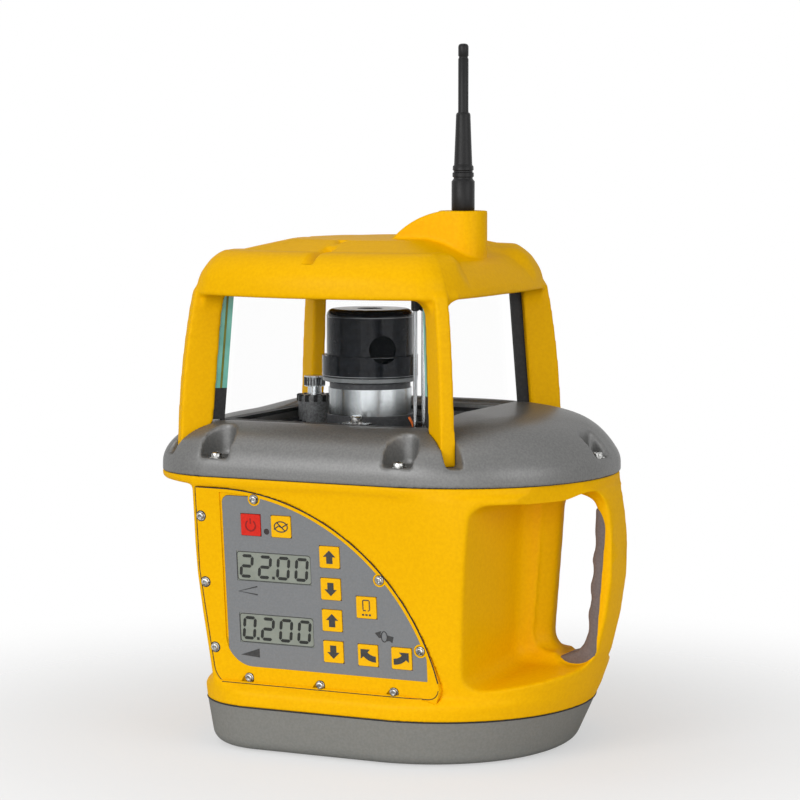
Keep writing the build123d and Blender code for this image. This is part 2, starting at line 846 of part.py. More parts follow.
# Circuit board behind the panel
with BuildPart() as main_board:
    with BuildSketch(front_plane.offset(-panel_thickness - board_standoff)):
        with Locations(board_mark):
            Rectangle(board_width, board_height)
    extrude(amount=-board_thickness)
finish(main_board.part, "main_board")


def fin_plane(angle):
    """Upright plane through the middle of the cage, its local X pointing outwards at the angle."""
    turn = radians(angle)
    return Plane(origin=(cage_x, 0, 0), x_dir=(cos(turn), sin(turn), 0), z_dir=(sin(turn), -cos(turn), 0))


# Upper cover: a band, a dome on it, slots for the fins and pockets for the screws,
# with a relief above the nut of the long slope
long_nut_front = -long_slot_half - nut_wall
long_nut_rear = long_screw_y + drive_screw_radius + running_gap + nut_wall
relief_left = long_nut_x - nut_half_length - long_relief_gap
relief_front = long_nut_front - long_relief_gap
relief_rear = long_nut_rear + long_relief_gap
seal_reach = window_low_half + seal_outer
fin_angles = (fin_angle, 180 - fin_angle, 180 + fin_angle, -fin_angle)
with BuildPart() as upper_cover:
    with BuildSketch(Plane.XY.offset(housing_top_z)):
        draw_outline(cover_outline)
    extrude(amount=cover_band)
    for step in range(dome_steps + 1):
        turn = radians(90 * step / dome_steps)
        share = 1 - cos(turn)
        narrowing = dome_side_inset * share
        dome_shape = Outline(
            cover_outline.left + dome_left_inset * share,
            cover_outline.right - dome_right_inset * share,
            cover_outline.half_width - narrowing,
            cover_outline.left_radius - narrowing,
            cover_outline.right_radius - narrowing,
            cover_outline.left_corner - narrowing,
            cover_outline.right_corner - narrowing,
        )
        with BuildSketch(Plane.XY.offset(dome_z + dome_height * sin(turn))):
            draw_outline(dome_shape)
    loft()
    with BuildSketch(Plane.XY.offset(housing_top_z)):
        draw_outline(cover_outline, cover_inner_inset)
    extrude(amount=cover_inner_height, mode=Mode.SUBTRACT)
    with BuildSketch(Plane.XY.offset(housing_top_z)):
        RectangleRounded(2 * (deck_half - deck_ledge), 2 * (deck_half - deck_ledge), deck_corner)
    extrude(amount=cover_top_z - housing_top_z, mode=Mode.SUBTRACT)
    with BuildSketch(Plane.XY.offset(housing_top_z)):
        with Locations((relief_left / 2, (relief_front + relief_rear) / 2)):
            Rectangle(-relief_left, relief_rear - relief_front)
    extrude(amount=long_relief_z - housing_top_z, mode=Mode.SUBTRACT)
    with BuildSketch(Plane.XY.offset(deck_top_z - deck_thickness)):
        RectangleRounded(2 * deck_half, 2 * deck_half, deck_corner)
    extrude(amount=cover_top_z - deck_top_z + deck_thickness, mode=Mode.SUBTRACT)
    with BuildSketch(Plane.XY.offset(cover_top_z - seal_height)):
        Rectangle(2 * (seal_reach + running_gap), 2 * (seal_reach + running_gap))
    extrude(amount=2 * seal_height, mode=Mode.SUBTRACT)
    for angle in fin_angles:
        with BuildSketch(fin_plane(angle)):
            with BuildLine():
                Polyline(
                    (fin_foot_inner - slip_gap, fin_foot_z),
                    (fin_foot_inner - slip_gap, fin_knee_z),
                    (fin_waist_inner - slip_gap, fin_waist_z),
                    (fin_waist_inner - slip_gap, fin_middle_z),
                    (far_x, fin_middle_z),
                    (far_x, fin_foot_z),
                    close=True,
                )
            make_face()
        extrude(amount=fin_thickness / 2 + slip_gap, both=True, mode=Mode.SUBTRACT)
    with BuildSketch(Plane.XY.offset(cover_pocket_z)):
        for x, y, angle in cover_screw_places:
            with Locations(Location((x, y, 0), (0, 0, angle))):
                with Locations((cover_pocket_reach / 2 - cover_pocket_depth, 0)):
                    RectangleRounded(cover_pocket_reach, cover_pocket_width, cover_pocket_corner)
    extrude(amount=cover_top_z - cover_pocket_z, mode=Mode.SUBTRACT)
    with BuildSketch(Plane.XY.offset(housing_top_z)):
        with Locations(*cover_screw_points):
            Circle(cover_screw_radius + running_gap)
    extrude(amount=cover_pocket_z - housing_top_z, mode=Mode.SUBTRACT)
finish(upper_cover.part, "upper_cover")

# Screws of the upper cover
with BuildPart() as cover_screws:
    with BuildSketch(Plane.XY.offset(cover_pocket_z)):
        with Locations(*cover_screw_points):
            Circle(cover_screw_head_radius)
    extrude(amount=cover_screw_head_height)
    with BuildSketch(Plane.XY.offset(cover_pocket_z)):
        with Locations(*cover_screw_points):
            Circle(cover_screw_radius)
    extrude(amount=-cover_screw_length)
finish(cover_screws.part, "cover_screws")

# Deck plate round the spindle
with BuildPart() as deck_plate:
    with BuildSketch(Plane.XY.offset(deck_top_z)):
        RectangleRounded(2 * (deck_half - slip_gap), 2 * (deck_half - slip_gap), deck_corner)
        Circle(deck_hole_radius, mode=Mode.SUBTRACT)
    extrude(amount=-deck_thickness)
finish(deck_plate.part, "deck_plate")

# Seals under and over the windows
for name, seal_z, half in (
    ("window_seal_lower", window_low_z - seal_height, window_low_half),
    ("window_seal_upper", window_high_z, window_high_half),
):
    with BuildPart() as seal:
        with BuildSketch(Plane.XY.offset(seal_z)):
            Rectangle(2 * (half + seal_outer), 2 * (half + seal_outer))
            Rectangle(2 * (half - seal_inner), 2 * (half - seal_inner), mode=Mode.SUBTRACT)
        extrude(amount=seal_height)
    finish(seal.part, name)

# Windows, each a leaning pane
pane_lean = atan2(window_low_half - window_high_half, window_high_z - window_low_z)
pane_height = (window_high_z - window_low_z) / cos(pane_lean)
pane_low_reach = window_low_half - window_thickness - window_corner_gap
pane_high_reach = window_high_half - window_thickness - window_corner_gap
for name, angle in (("window_front", 0), ("window_right", 90), ("window_rear", 180), ("window_left", 270)):
    outward = Vector(sin(radians(angle)), -cos(radians(angle)), 0)
    pane_plane = Plane(
        origin=outward * window_low_half + Vector(0, 0, window_low_z),
        x_dir=(cos(radians(angle)), sin(radians(angle)), 0),
        z_dir=outward * cos(pane_lean) + Vector(0, 0, sin(pane_lean)),
    )
    with BuildPart() as pane:
        with BuildSketch(pane_plane):
            with BuildLine():
                Polyline(
                    (-pane_low_reach, 0), (pane_low_reach, 0),
                    (pane_high_reach, pane_height), (-pane_high_reach, pane_height),
                    close=True,
                )
            make_face()
        extrude(amount=window_thickness, dir=outward * -1)
    finish(pane.part, name)


def draw_bowed_square(middle, corner, radius):
    """Square with bowed sides, from its reach at the middle of a side and at the corners."""
    with BuildLine() as boundary:
        for turn in range(4):
            start = Vector(corner, -corner).rotate(Axis.Z, 90 * turn)
            halfway = Vector(middle, 0).rotate(Axis.Z, 90 * turn)
            stop = Vector(corner, corner).rotate(Axis.Z, 90 * turn)
            ThreePointArc(start, halfway, stop)
    with BuildSketch(Plane.XY, mode=Mode.PRIVATE) as square:
        make_face(boundary.edges())
        fillet(square.vertices(), radius)
    add(square.sketch)


# Guard cage: roof on four fins, with sight grooves and the antenna boss
roof_high_z = roof_low_z + roof_height
plateau_z = roof_high_z + plateau_height
fin_top_z = roof_high_z - roof_edge_radius
cage_plane = Plane(origin=(cage_x, 0, 0))
with BuildPart() as fin:
    with BuildSketch(fin_plane(fin_angle)):
        with BuildLine():
            ThreePointArc(
                (fin_foot_outer, fin_foot_z), (fin_middle_outer, fin_middle_z),
                (fin_top_outer, fin_top_z),
            )
            ThreePointArc((fin_top_outer, fin_top_z), fin_hip_middle, (fin_hip_inner, roof_high_z))
            Polyline(
                (fin_hip_inner, roof_high_z), (fin_hip_inner, fin_top_z), (fin_top_inner, roof_low_z),
                (fin_waist_inner, fin_waist_z), (fin_foot_inner, fin_knee_z),
                (fin_foot_inner, fin_foot_z), (fin_foot_outer, fin_foot_z),
            )
        make_face()
    extrude(amount=fin_thickness / 2, both=True)
    mirror(about=Plane.XZ)
    mirror(about=Plane.YZ.offset(cage_x))
with BuildPart() as guard_cage:
    with BuildSketch(cage_plane.offset(roof_low_z)):
        draw_bowed_square(roof_half, roof_corner_half, roof_corner_radius)
    extrude(amount=roof_height)
    fillet(guard_cage.faces().sort_by(Axis.Z)[-1].edges(), roof_edge_radius)
    with BuildSketch(cage_plane.offset(roof_high_z)):
        draw_bowed_square(plateau_half, plateau_corner_half, plateau_corner)
    with BuildSketch(cage_plane.offset(plateau_z)):
        draw_bowed_square(
            plateau_half - plateau_slope, plateau_corner_half - plateau_slope, plateau_corner
        )
    loft(ruled=True)
    with BuildSketch(Plane.XZ.offset(plateau_half)):
        with BuildLine():
            Polyline(
                (sight_front_x - sight_width / 2, plateau_z), (sight_front_x, plateau_z - sight_depth),
                (sight_front_x + sight_width / 2, plateau_z), close=True,
            )
        make_face()
    extrude(amount=-sight_length, mode=Mode.SUBTRACT)
    with BuildSketch(Plane.YZ.offset(cage_x - plateau_half)):
        with BuildLine():
            Polyline(
                (-sight_width / 2, plateau_z), (0, plateau_z - sight_depth), (sight_width / 2, plateau_z),
                close=True,
            )
        make_face()
    extrude(amount=sight_length, mode=Mode.SUBTRACT)
    with BuildSketch(Plane.XZ):
        with BuildLine():
            ThreePointArc((fairing_start_x, plateau_z), fairing_middle, (fairing_top_x, boss_top_z))
            Polyline(
                (fairing_top_x, boss_top_z), (boss_x, boss_top_z), (boss_x, roof_hollow_z),
                (fairing_start_x, roof_hollow_z), (fairing_start_x, plateau_z),
            )
        make_face()
    extrude(amount=boss_radius, both=True)
    with BuildSketch(Plane.XY.offset(roof_hollow_z)):
        with Locations((boss_x, 0)):
            Circle(boss_radius)
    extrude(amount=boss_top_z - roof_hollow_z)
    with BuildSketch(cage_plane.offset(roof_low_z)):
        draw_bowed_square(
            roof_half - roof_skirt, roof_corner_half - roof_skirt, roof_corner_radius - roof_skirt
        )
    extrude(amount=roof_ceiling, mode=Mode.SUBTRACT)
    with BuildSketch(Plane.XY.offset(roof_low_z)):
        Rectangle(2 * roof_hollow_half, 2 * roof_hollow_half)
    extrude(amount=roof_hollow_z - roof_low_z, mode=Mode.SUBTRACT)
    add(fin.part)
    with BuildSketch(Plane.XY.offset(boss_top_z)):
        with Locations((boss_x, 0)):
            Circle(antenna_socket_radius + press_gap)
    extrude(amount=-antenna_socket_height, mode=Mode.SUBTRACT)
finish(guard_cage.part, "guard_cage")

# Antenna socket in the boss
with BuildPart() as antenna_socket:
    with BuildSketch(Plane.XY.offset(boss_top_z)):
        with Locations((boss_x, 0)):
            Circle(antenna_socket_radius)
            Circle(antenna_stud_radius + press_gap, mode=Mode.SUBTRACT)
    extrude(amount=-antenna_socket_height)
finish(antenna_socket.part, "antenna_socket")

# Stub antenna
antenna_ring_z = boss_top_z + antenna_base_height
antenna_sleeve_z = antenna_ring_z + antenna_ring_height
antenna_whip_z = antenna_sleeve_z + antenna_sleeve_height
antenna_tip_z = boss_top_z + antenna_length
with BuildPart() as antenna:
    with BuildSketch(Plane.XZ):
        with BuildLine():
            Polyline(
                (boss_x, boss_top_z - antenna_stud_length),
                (boss_x + antenna_stud_radius, boss_top_z - antenna_stud_length),
                (boss_x + antenna_stud_radius, boss_top_z),
                (boss_x + antenna_base_radius, boss_top_z),
                (boss_x + antenna_base_radius, antenna_ring_z),
                (boss_x + antenna_ring_radius, antenna_ring_z),
                (boss_x + antenna_ring_radius, antenna_sleeve_z),
                (boss_x + antenna_sleeve_low_radius, antenna_sleeve_z),
                (boss_x + antenna_sleeve_high_radius, antenna_whip_z),
                (boss_x + antenna_whip_radius, antenna_whip_z),
                (boss_x + antenna_whip_radius, antenna_tip_z - antenna_tip_chamfer),
                (boss_x + antenna_whip_radius - antenna_tip_chamfer, antenna_tip_z),
                (boss_x, antenna_tip_z),
                close=True,
            )
        make_face()
    revolve(axis=Axis((boss_x, 0, 0), (0, 0, 1)))
finish(antenna.part, "antenna")

# Beam path: a cylinder from the rotor axis out through the wall of the rotor
beam_turn = radians(beam_azimuth)
beam_direction = (sin(beam_turn), -cos(beam_turn), 0)
beam_plane = Plane(origin=(0, 0, beam_z), x_dir=(cos(beam_turn), sin(beam_turn), 0), z_dir=beam_direction)

# Rotor cap with the beam opening
with BuildPart() as rotor_cap:
    with BuildSketch(Plane.XY.offset(rotor_cap_low_z)):
        Circle(rotor_cap_radius)
    extrude(amount=rotor_cap_high_z - rotor_cap_low_z)
    fillet(rotor_cap.faces().sort_by(Axis.Z)[-1].edges(), rotor_cap_edge)
    with BuildSketch(Plane.XY.offset(rotor_cap_low_z)):
        Circle(rotor_cap_radius - rotor_cap_wall)
    extrude(amount=rotor_cap_high_z - rotor_cap_low_z - 2 * rotor_cap_wall, mode=Mode.SUBTRACT)
    with BuildSketch(beam_plane):
        Circle(beam_radius)
    extrude(amount=2 * rotor_ring_radius, mode=Mode.SUBTRACT)
finish(rotor_cap.part, "rotor_cap")

# Lens in the beam opening
with BuildPart() as rotor_lens:
    with BuildSketch(beam_plane.offset(rotor_cap_radius - rotor_cap_wall)):
        Circle(beam_radius - press_gap)
    extrude(amount=-lens_thickness)
finish(rotor_lens.part, "rotor_lens")

# Rotor base: plate, ring and floor
rotor_plate_low_z = rotor_ring_low_z - rotor_plate_height
rotor_floor_z = rotor_ring_low_z + rotor_floor
with BuildPart() as rotor_base:
    with BuildSketch(Plane.XY.offset(rotor_plate_low_z)):
        Circle(rotor_plate_radius)
    extrude(amount=rotor_plate_height)
    with BuildSketch(Plane.XY.offset(rotor_ring_low_z)):
        Circle(rotor_ring_radius)
    extrude(amount=rotor_cap_low_z - rotor_ring_low_z)
    with BuildSketch(Plane.XY.offset(rotor_floor_z)):
        Circle(rotor_pocket_radius)
    extrude(amount=rotor_cap_low_z - rotor_floor_z, mode=Mode.SUBTRACT)
    with BuildSketch(Plane.XY.offset(rotor_plate_low_z)):
        Circle(shaft_radius + press_gap)
    extrude(amount=rotor_floor_z - rotor_plate_low_z, mode=Mode.SUBTRACT)
    with BuildSketch(beam_plane):
        Circle(beam_radius)
    extrude(amount=2 * rotor_ring_radius, mode=Mode.SUBTRACT)
finish(rotor_base.part, "rotor_base")

# Prism that turns the beam
with BuildPart() as prism:
    with BuildSketch(Plane.XY.offset(rotor_floor_z)):
        Rectangle(prism_size, prism_size, rotation=beam_azimuth)
    extrude(amount=prism_size)
finish(prism.part, "prism")

# Hollow rotor shaft
with BuildPart() as rotor_shaft:
    with BuildSketch(Plane.XY.offset(shaft_low_z)):
        Circle(shaft_radius)
        Circle(shaft_bore, mode=Mode.SUBTRACT)
    extrude(amount=rotor_floor_z - shaft_low_z)
finish(rotor_shaft.part, "rotor_shaft")

# Motor magnet on the shaft
with BuildPart() as motor_magnet:
    with BuildSketch(Plane.XY.offset(magnet_low_z)):
        Circle(magnet_radius)
        Circle(shaft_radius + press_gap, mode=Mode.SUBTRACT)
    extrude(amount=magnet_height)
finish(motor_magnet.part, "motor_magnet")

# Encoder disc between spindle and rotor
encoder_z = (spindle_high_z + rotor_plate_low_z - encoder_thickness) / 2
with BuildPart() as encoder_disc:
    with BuildSketch(Plane.XY.offset(encoder_z)):
        Circle(encoder_radius)
        Circle(shaft_radius + press_gap, mode=Mode.SUBTRACT)
    extrude(amount=encoder_thickness)
finish(encoder_disc.part, "encoder_disc")

# Spindle housing with the drive arm of the long slope
with BuildPart() as spindle_housing:
    with BuildSketch(Plane.XY.offset(spindle_low_z)):
        Circle(spindle_radius)
    extrude(amount=spindle_high_z - spindle_low_z)
    with BuildSketch(Plane.YZ):
        with Locations((0, long_arm_z)):
            Circle(arm_width / 2)
    extrude(amount=-long_arm_reach)
    with BuildSketch(Plane.XY.offset(spindle_low_z + spindle_lid)):
        Circle(spindle_bore)
    extrude(amount=spindle_high_z - spindle_low_z - spindle_lid, mode=Mode.SUBTRACT)
    with BuildSketch(Plane.XZ):
        with Locations((0, pivot_z)):
            Circle(pivot_radius + running_gap)
    extrude(amount=2 * spindle_radius, both=True, mode=Mode.SUBTRACT)
finish(spindle_housing.part, "spindle_housing")

# Bearings
for name, bearing_z in (("upper_bearing", bearing_high_z), ("lower_bearing", bearing_low_z)):
    with BuildPart() as bearing:
        with BuildSketch(Plane.XY.offset(bearing_z)):
            Circle(spindle_bore - press_gap)
            Circle(shaft_radius + running_gap, mode=Mode.SUBTRACT)
        extrude(amount=bearing_height)
    finish(bearing.part, name)

# Laser module on the spindle floor
with BuildPart() as laser_module:
    with BuildSketch(Plane.XY.offset(spindle_low_z + spindle_lid)):
        Circle(laser_radius)
    extrude(amount=laser_height)
finish(laser_module.part, "laser_module")

# Motor stator
with BuildPart() as motor_stator:
    with BuildSketch(Plane.XY.offset(magnet_low_z)):
        Circle(spindle_bore - press_gap)
        Circle(magnet_radius + stator_gap, mode=Mode.SUBTRACT)
    extrude(amount=magnet_height)
finish(motor_stator.part, "motor_stator")

# Gimbal ring with the drive arm of the cross slope
with BuildPart() as gimbal_ring:
    with BuildSketch(Plane.XY.offset(pivot_z - gimbal_height / 2)):
        Circle(gimbal_outer)
    extrude(amount=gimbal_height)
    with BuildSketch(Plane.XZ):
        with Locations((0, pivot_z)):
            Circle(arm_width / 2)
    extrude(amount=-cross_arm_reach)
    with BuildSketch(Plane.XY.offset(pivot_z - gimbal_height / 2)):
        Circle(gimbal_inner)
    extrude(amount=gimbal_height, mode=Mode.SUBTRACT)
    with BuildSketch(Plane.XZ):
        with Locations((0, pivot_z)):
            Circle(pivot_radius + press_gap)
    extrude(amount=trunnion_outer, both=True, mode=Mode.SUBTRACT)
    with BuildSketch(Plane.YZ):
        with Locations((0, pivot_z)):
            Circle(pivot_radius + running_gap)
    extrude(amount=2 * gimbal_outer, both=True, mode=Mode.SUBTRACT)
finish(gimbal_ring.part, "gimbal_ring")

# Pins of the inner pivot, along Y
with BuildPart() as trunnion_pins:
    for side in (-1, 1):
        with BuildSketch(Plane.XZ.offset(side * trunnion_inner)):
            with Locations((0, pivot_z)):
                Circle(pivot_radius)
        extrude(amount=side * (trunnion_outer - trunnion_inner))
finish(trunnion_pins.part, "trunnion_pins")

# Pins of the outer pivot, along X
with BuildPart() as gimbal_pins:
    for side in (-1, 1):
        with BuildSketch(Plane.YZ.offset(side * gimbal_pin_inner)):
            with Locations((0, pivot_z)):
                Circle(pivot_radius)
        extrude(amount=side * (post_outer - gimbal_pin_inner))
finish(gimbal_pins.part, "gimbal_pins")

# Chassis: plate on four legs with two pivot posts
chassis_top_z = chassis_low_z + chassis_thickness
leg_points = [(x, y) for x in (leg_left, leg_right) for y in (leg_front_y, leg_rear_y)]
with BuildPart() as chassis:
    with BuildSketch(Plane.XY.offset(chassis_low_z)):
        with Locations(((chassis_left + chassis_right) / 2, (chassis_front + chassis_rear) / 2)):
            RectangleRounded(chassis_right - chassis_left, chassis_rear - chassis_front, chassis_corner)
    extrude(amount=chassis_thickness)
    with BuildSketch(Plane.XY.offset(base_wall)):
        with Locations(*leg_points):
            Circle(leg_radius)
    extrude(amount=chassis_low_z - base_wall)
    with BuildSketch(Plane.XY.offset(chassis_top_z)):
        with Locations(((post_inner + post_outer) / 2, 0), (-(post_inner + post_outer) / 2, 0)):
            Rectangle(post_outer - post_inner, 2 * post_half_width)
    extrude(amount=pivot_z + post_top_margin - chassis_top_z)
    with BuildSketch(Plane.YZ):
        with Locations((0, pivot_z)):
            Circle(pivot_radius + press_gap)
    extrude(amount=2 * post_outer, both=True, mode=Mode.SUBTRACT)
finish(chassis.part, "chassis")

# Slope drives: a motor on the chassis, its screw and the nut that carries the arm
drive_places = {
    "cross": (0.0, cross_screw_y, cross_motor_height, cross_screw_top_z),
    "long": (long_nut_x, long_screw_y, long_motor_height, long_screw_top_z),
}
for drive, (drive_x, drive_y, motor_height, screw_top_z) in drive_places.items():
    screw_low_z = chassis_top_z + motor_height - drive_screw_sunk
    with BuildPart() as drive_motor:
        with BuildSketch(Plane.XY.offset(chassis_top_z)):
            with Locations((drive_x, drive_y)):
                Circle(drive_motor_radius)
        extrude(amount=motor_height)
        with BuildSketch(Plane.XY.offset(screw_low_z)):
            with Locations((drive_x, drive_y)):
                Circle(drive_screw_radius + running_gap)
        extrude(amount=drive_screw_sunk, mode=Mode.SUBTRACT)
    finish(drive_motor.part, drive + "_motor")
    with BuildPart() as drive_screw:
        with BuildSketch(Plane.XY.offset(screw_low_z)):
            with Locations((drive_x, drive_y)):
                Circle(drive_screw_radius)
        extrude(amount=screw_top_z - screw_low_z)
    finish(drive_screw.part, drive + "_screw")

# Nut of the cross slope, forked round the arm of the gimbal ring
cross_nut_front = cross_nut_y - nut_half_length
cross_nut_rear = cross_screw_y + drive_screw_radius + running_gap + nut_wall
cross_slot_rear = cross_arm_reach + cross_slot_margin
with BuildPart() as cross_nut:
    with BuildSketch(Plane.XY.offset(pivot_z - drive_nut_height / 2)):
        with Locations((0, (cross_nut_front + cross_nut_rear) / 2)):
            Rectangle(2 * long_slot_half, cross_nut_rear - cross_nut_front)
    extrude(amount=drive_nut_height)
    with BuildSketch(Plane.XY.offset(pivot_z - slot_half_height)):
        with Locations((0, (cross_nut_front + cross_slot_rear) / 2)):
            Rectangle(2 * long_slot_half, cross_slot_rear - cross_nut_front)
    extrude(amount=2 * slot_half_height, mode=Mode.SUBTRACT)
    with BuildSketch(Plane.XY.offset(pivot_z - drive_nut_height / 2)):
        with Locations((0, cross_screw_y)):
            Circle(drive_screw_radius + running_gap)
    extrude(amount=drive_nut_height, mode=Mode.SUBTRACT)
finish(cross_nut.part, "cross_nut")

# Nut of the long slope, with a window round the arm of the spindle
with BuildPart() as long_nut:
    with BuildSketch(Plane.XY.offset(long_arm_z - drive_nut_height / 2)):
        with Locations((long_nut_x, (long_nut_front + long_nut_rear) / 2)):
            Rectangle(2 * nut_half_length, long_nut_rear - long_nut_front)
    extrude(amount=drive_nut_height)
    with BuildSketch(Plane.YZ.offset(long_nut_x - nut_half_length)):
        with Locations((0, long_arm_z)):
            Rectangle(2 * long_slot_half, 2 * slot_half_height)
    extrude(amount=2 * nut_half_length, mode=Mode.SUBTRACT)
    with BuildSketch(Plane.XY.offset(long_arm_z - drive_nut_height / 2)):
        with Locations((long_nut_x, long_screw_y)):
            Circle(drive_screw_radius + running_gap)
    extrude(amount=drive_nut_height, mode=Mode.SUBTRACT)
finish(long_nut.part, "long_nut")

# Adjuster post with its collar
collar_z = deck_top_z + adjuster_post_height
neck_z = collar_z + adjuster_collar_height
with BuildPart() as adjuster_post:
    with BuildSketch(Plane.XY.offset(deck_top_z)):
        with Locations((adjuster_x, adjuster_y)):
            Circle(adjuster_post_radius)
    extrude(amount=adjuster_post_height)
    with BuildSketch(Plane.XY.offset(collar_z)):
        with Locations((adjuster_x, adjuster_y)):
            Circle(adjuster_collar_radius)
    extrude(amount=adjuster_collar_height)
    with BuildSketch(Plane.XY.offset(collar_z)):
        with Locations((adjuster_x, adjuster_y)):
            Circle(adjuster_pin_radius + running_gap)
    extrude(amount=adjuster_collar_height, mode=Mode.SUBTRACT)
finish(adjuster_post.part, "adjuster_post")

# Adjuster knob with a knurled rim
knob_z = neck_z + adjuster_neck_height
with BuildPart() as adjuster_knob:
    with BuildSketch(Plane.XY.offset(collar_z)):
        with Locations((adjuster_x, adjuster_y)):
            Circle(adjuster_pin_radius)
    extrude(amount=knob_z - collar_z)
    with BuildSketch(Plane.XY.offset(neck_z + slip_gap)):
        with Locations((adjuster_x, adjuster_y)):
            Circle(adjuster_neck_radius)
    extrude(amount=adjuster_neck_height - slip_gap)
    with BuildSketch(Plane.XY.offset(knob_z)):
        with Locations((adjuster_x, adjuster_y)):
            Circle(adjuster_knob_radius)
            with PolarLocations(adjuster_knob_radius, knurl_count):
                Circle(knurl_radius, mode=Mode.SUBTRACT)
    extrude(amount=adjuster_knob_height)
finish(adjuster_knob.part, "adjuster_knob")

# Battery pack: tray with four cells
cell_z = battery_low_z + battery_tray + cell_radius - cell_sunk
with BuildPart() as battery_pack:
    with BuildSketch(Plane.XY.offset(battery_low_z)):
        with Locations((battery_x, (front_row_y + rear_row_y) / 2)):
            Rectangle(2 * cell_length + cell_gap, 4 * cell_radius + cell_gap)
    extrude(amount=battery_tray)
    for x, y in cell_centres:
        with BuildSketch(Plane.YZ.offset(x - cell_length / 2)):
            with Locations((y, cell_z)):
                Circle(cell_radius)
        extrude(amount=cell_length)
finish(battery_pack.part, "battery_pack")

# Battery door with its hinge pins, the lower edge rounded about the pins
latch_mark = (-battery_x, bay_centre[1] + bay_door_height / 2 - latch_drop)
with BuildPart() as battery_door:
    with BuildSketch(rear_plane):
        with Locations((bay_centre[0], bay_centre[1] + bay_door_thickness / 4)):
            RectangleRounded(bay_door_width, bay_door_height - bay_door_thickness / 2, bay_door_corner)
        with Locations((bay_centre[0], bay_pin_local_y + bay_door_height / 4)):
            Rectangle(bay_door_width, bay_door_height / 2)
    extrude(amount=-bay_door_thickness)
    with BuildSketch(bay_pin_plane):
        Circle(bay_door_thickness / 2)
    extrude(amount=bay_door_width / 2, both=True)
    with BuildSketch(bay_pin_plane):
        Circle(bay_pin_radius)
    extrude(amount=bay_pin_reach, both=True)
    with BuildSketch(rear_plane):
        with Locations(latch_mark):
            Circle(latch_shaft_radius + running_gap)
    extrude(amount=-bay_door_thickness, mode=Mode.SUBTRACT)
finish(battery_door.part, "battery_door")

# Quarter-turn latch in the battery door
with BuildPart() as battery_latch:
    with BuildSketch(rear_plane.offset(slip_gap)):
        with Locations(latch_mark):
            Circle(latch_radius)
    extrude(amount=latch_height)
    with BuildSketch(rear_plane.offset(slip_gap + latch_height)):
        with Locations(latch_mark):
            Rectangle(2 * (latch_radius - latch_wing_inset), latch_wing_width)
    extrude(amount=latch_wing_height)
    with BuildSketch(rear_plane.offset(slip_gap)):
        with Locations(latch_mark):
            Circle(latch_shaft_radius)
    extrude(amount=-bay_door_thickness - 2 * slip_gap)
    with BuildSketch(rear_plane.offset(-bay_door_thickness - slip_gap)):
        with Locations(latch_mark):
            SlotOverall(2 * latch_tongue_length, 2 * latch_shaft_radius)
    extrude(amount=-latch_tongue_thickness)
finish(battery_latch.part, "battery_latch")
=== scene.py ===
import json
import math

import bmesh
import bpy
import numpy as np
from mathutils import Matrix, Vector
from mathutils.bvhtree import BVHTree


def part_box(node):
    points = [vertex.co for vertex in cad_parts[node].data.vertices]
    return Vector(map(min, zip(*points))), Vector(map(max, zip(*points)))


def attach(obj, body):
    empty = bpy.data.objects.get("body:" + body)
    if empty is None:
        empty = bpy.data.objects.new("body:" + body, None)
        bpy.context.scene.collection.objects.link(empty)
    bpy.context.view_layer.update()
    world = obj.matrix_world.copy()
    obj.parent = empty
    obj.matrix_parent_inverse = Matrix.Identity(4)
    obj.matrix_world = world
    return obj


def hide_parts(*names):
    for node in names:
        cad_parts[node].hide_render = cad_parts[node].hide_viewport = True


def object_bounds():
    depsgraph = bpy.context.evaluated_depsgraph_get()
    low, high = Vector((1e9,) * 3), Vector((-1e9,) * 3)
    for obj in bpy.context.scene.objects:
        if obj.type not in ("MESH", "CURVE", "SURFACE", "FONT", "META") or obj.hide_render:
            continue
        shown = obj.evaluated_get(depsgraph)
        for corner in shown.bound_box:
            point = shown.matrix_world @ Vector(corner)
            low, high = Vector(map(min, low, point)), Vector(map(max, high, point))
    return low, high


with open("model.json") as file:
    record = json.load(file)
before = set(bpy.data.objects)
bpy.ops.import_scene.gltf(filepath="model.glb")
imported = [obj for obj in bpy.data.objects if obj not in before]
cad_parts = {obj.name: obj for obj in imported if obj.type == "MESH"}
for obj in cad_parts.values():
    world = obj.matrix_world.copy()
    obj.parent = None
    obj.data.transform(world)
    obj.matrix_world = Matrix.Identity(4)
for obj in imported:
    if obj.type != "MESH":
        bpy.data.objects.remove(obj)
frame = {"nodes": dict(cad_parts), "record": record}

cad_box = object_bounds()
scene = bpy.context.scene
scene.view_settings.view_transform = "Standard"
nodes = frame["nodes"]
slot_of = {sub["node"]: sub["material_slot"] for sub in frame["record"]["subparts"]}
MM = 0.001

# Driving values: lengths in millimetres, angles in radians, and plain shares, leans and counts.
# Spans, reaches and levels run from a start to an end; where there are two, the shape grows over
# the first and dies over the second. Profiles list radius and height off the edge they are set to.

# Sides of round pieces, and angles from which an edge is sharp
turned_sides = 48
rotor_sides = 72
antenna_sides = 40
head_sides = 36
slim_sides = 24
wire_sides = 12
seam_sides = 8
plain_sharp = math.radians(35)
plate_sharp = math.radians(9)
antenna_sharp = math.radians(50)

# Softening of the moulded shells
voxel = 0.9
kept_share = 0.3
housing_rounds = 14
cover_rounds = 8
cage_rounds = 8
grip_rounds = 4
soften_pull = 0.5
calm_span = (0.8, 3.6)
calm_share = 0.06
plateau_low = 268.5
plateau_share = 0.15

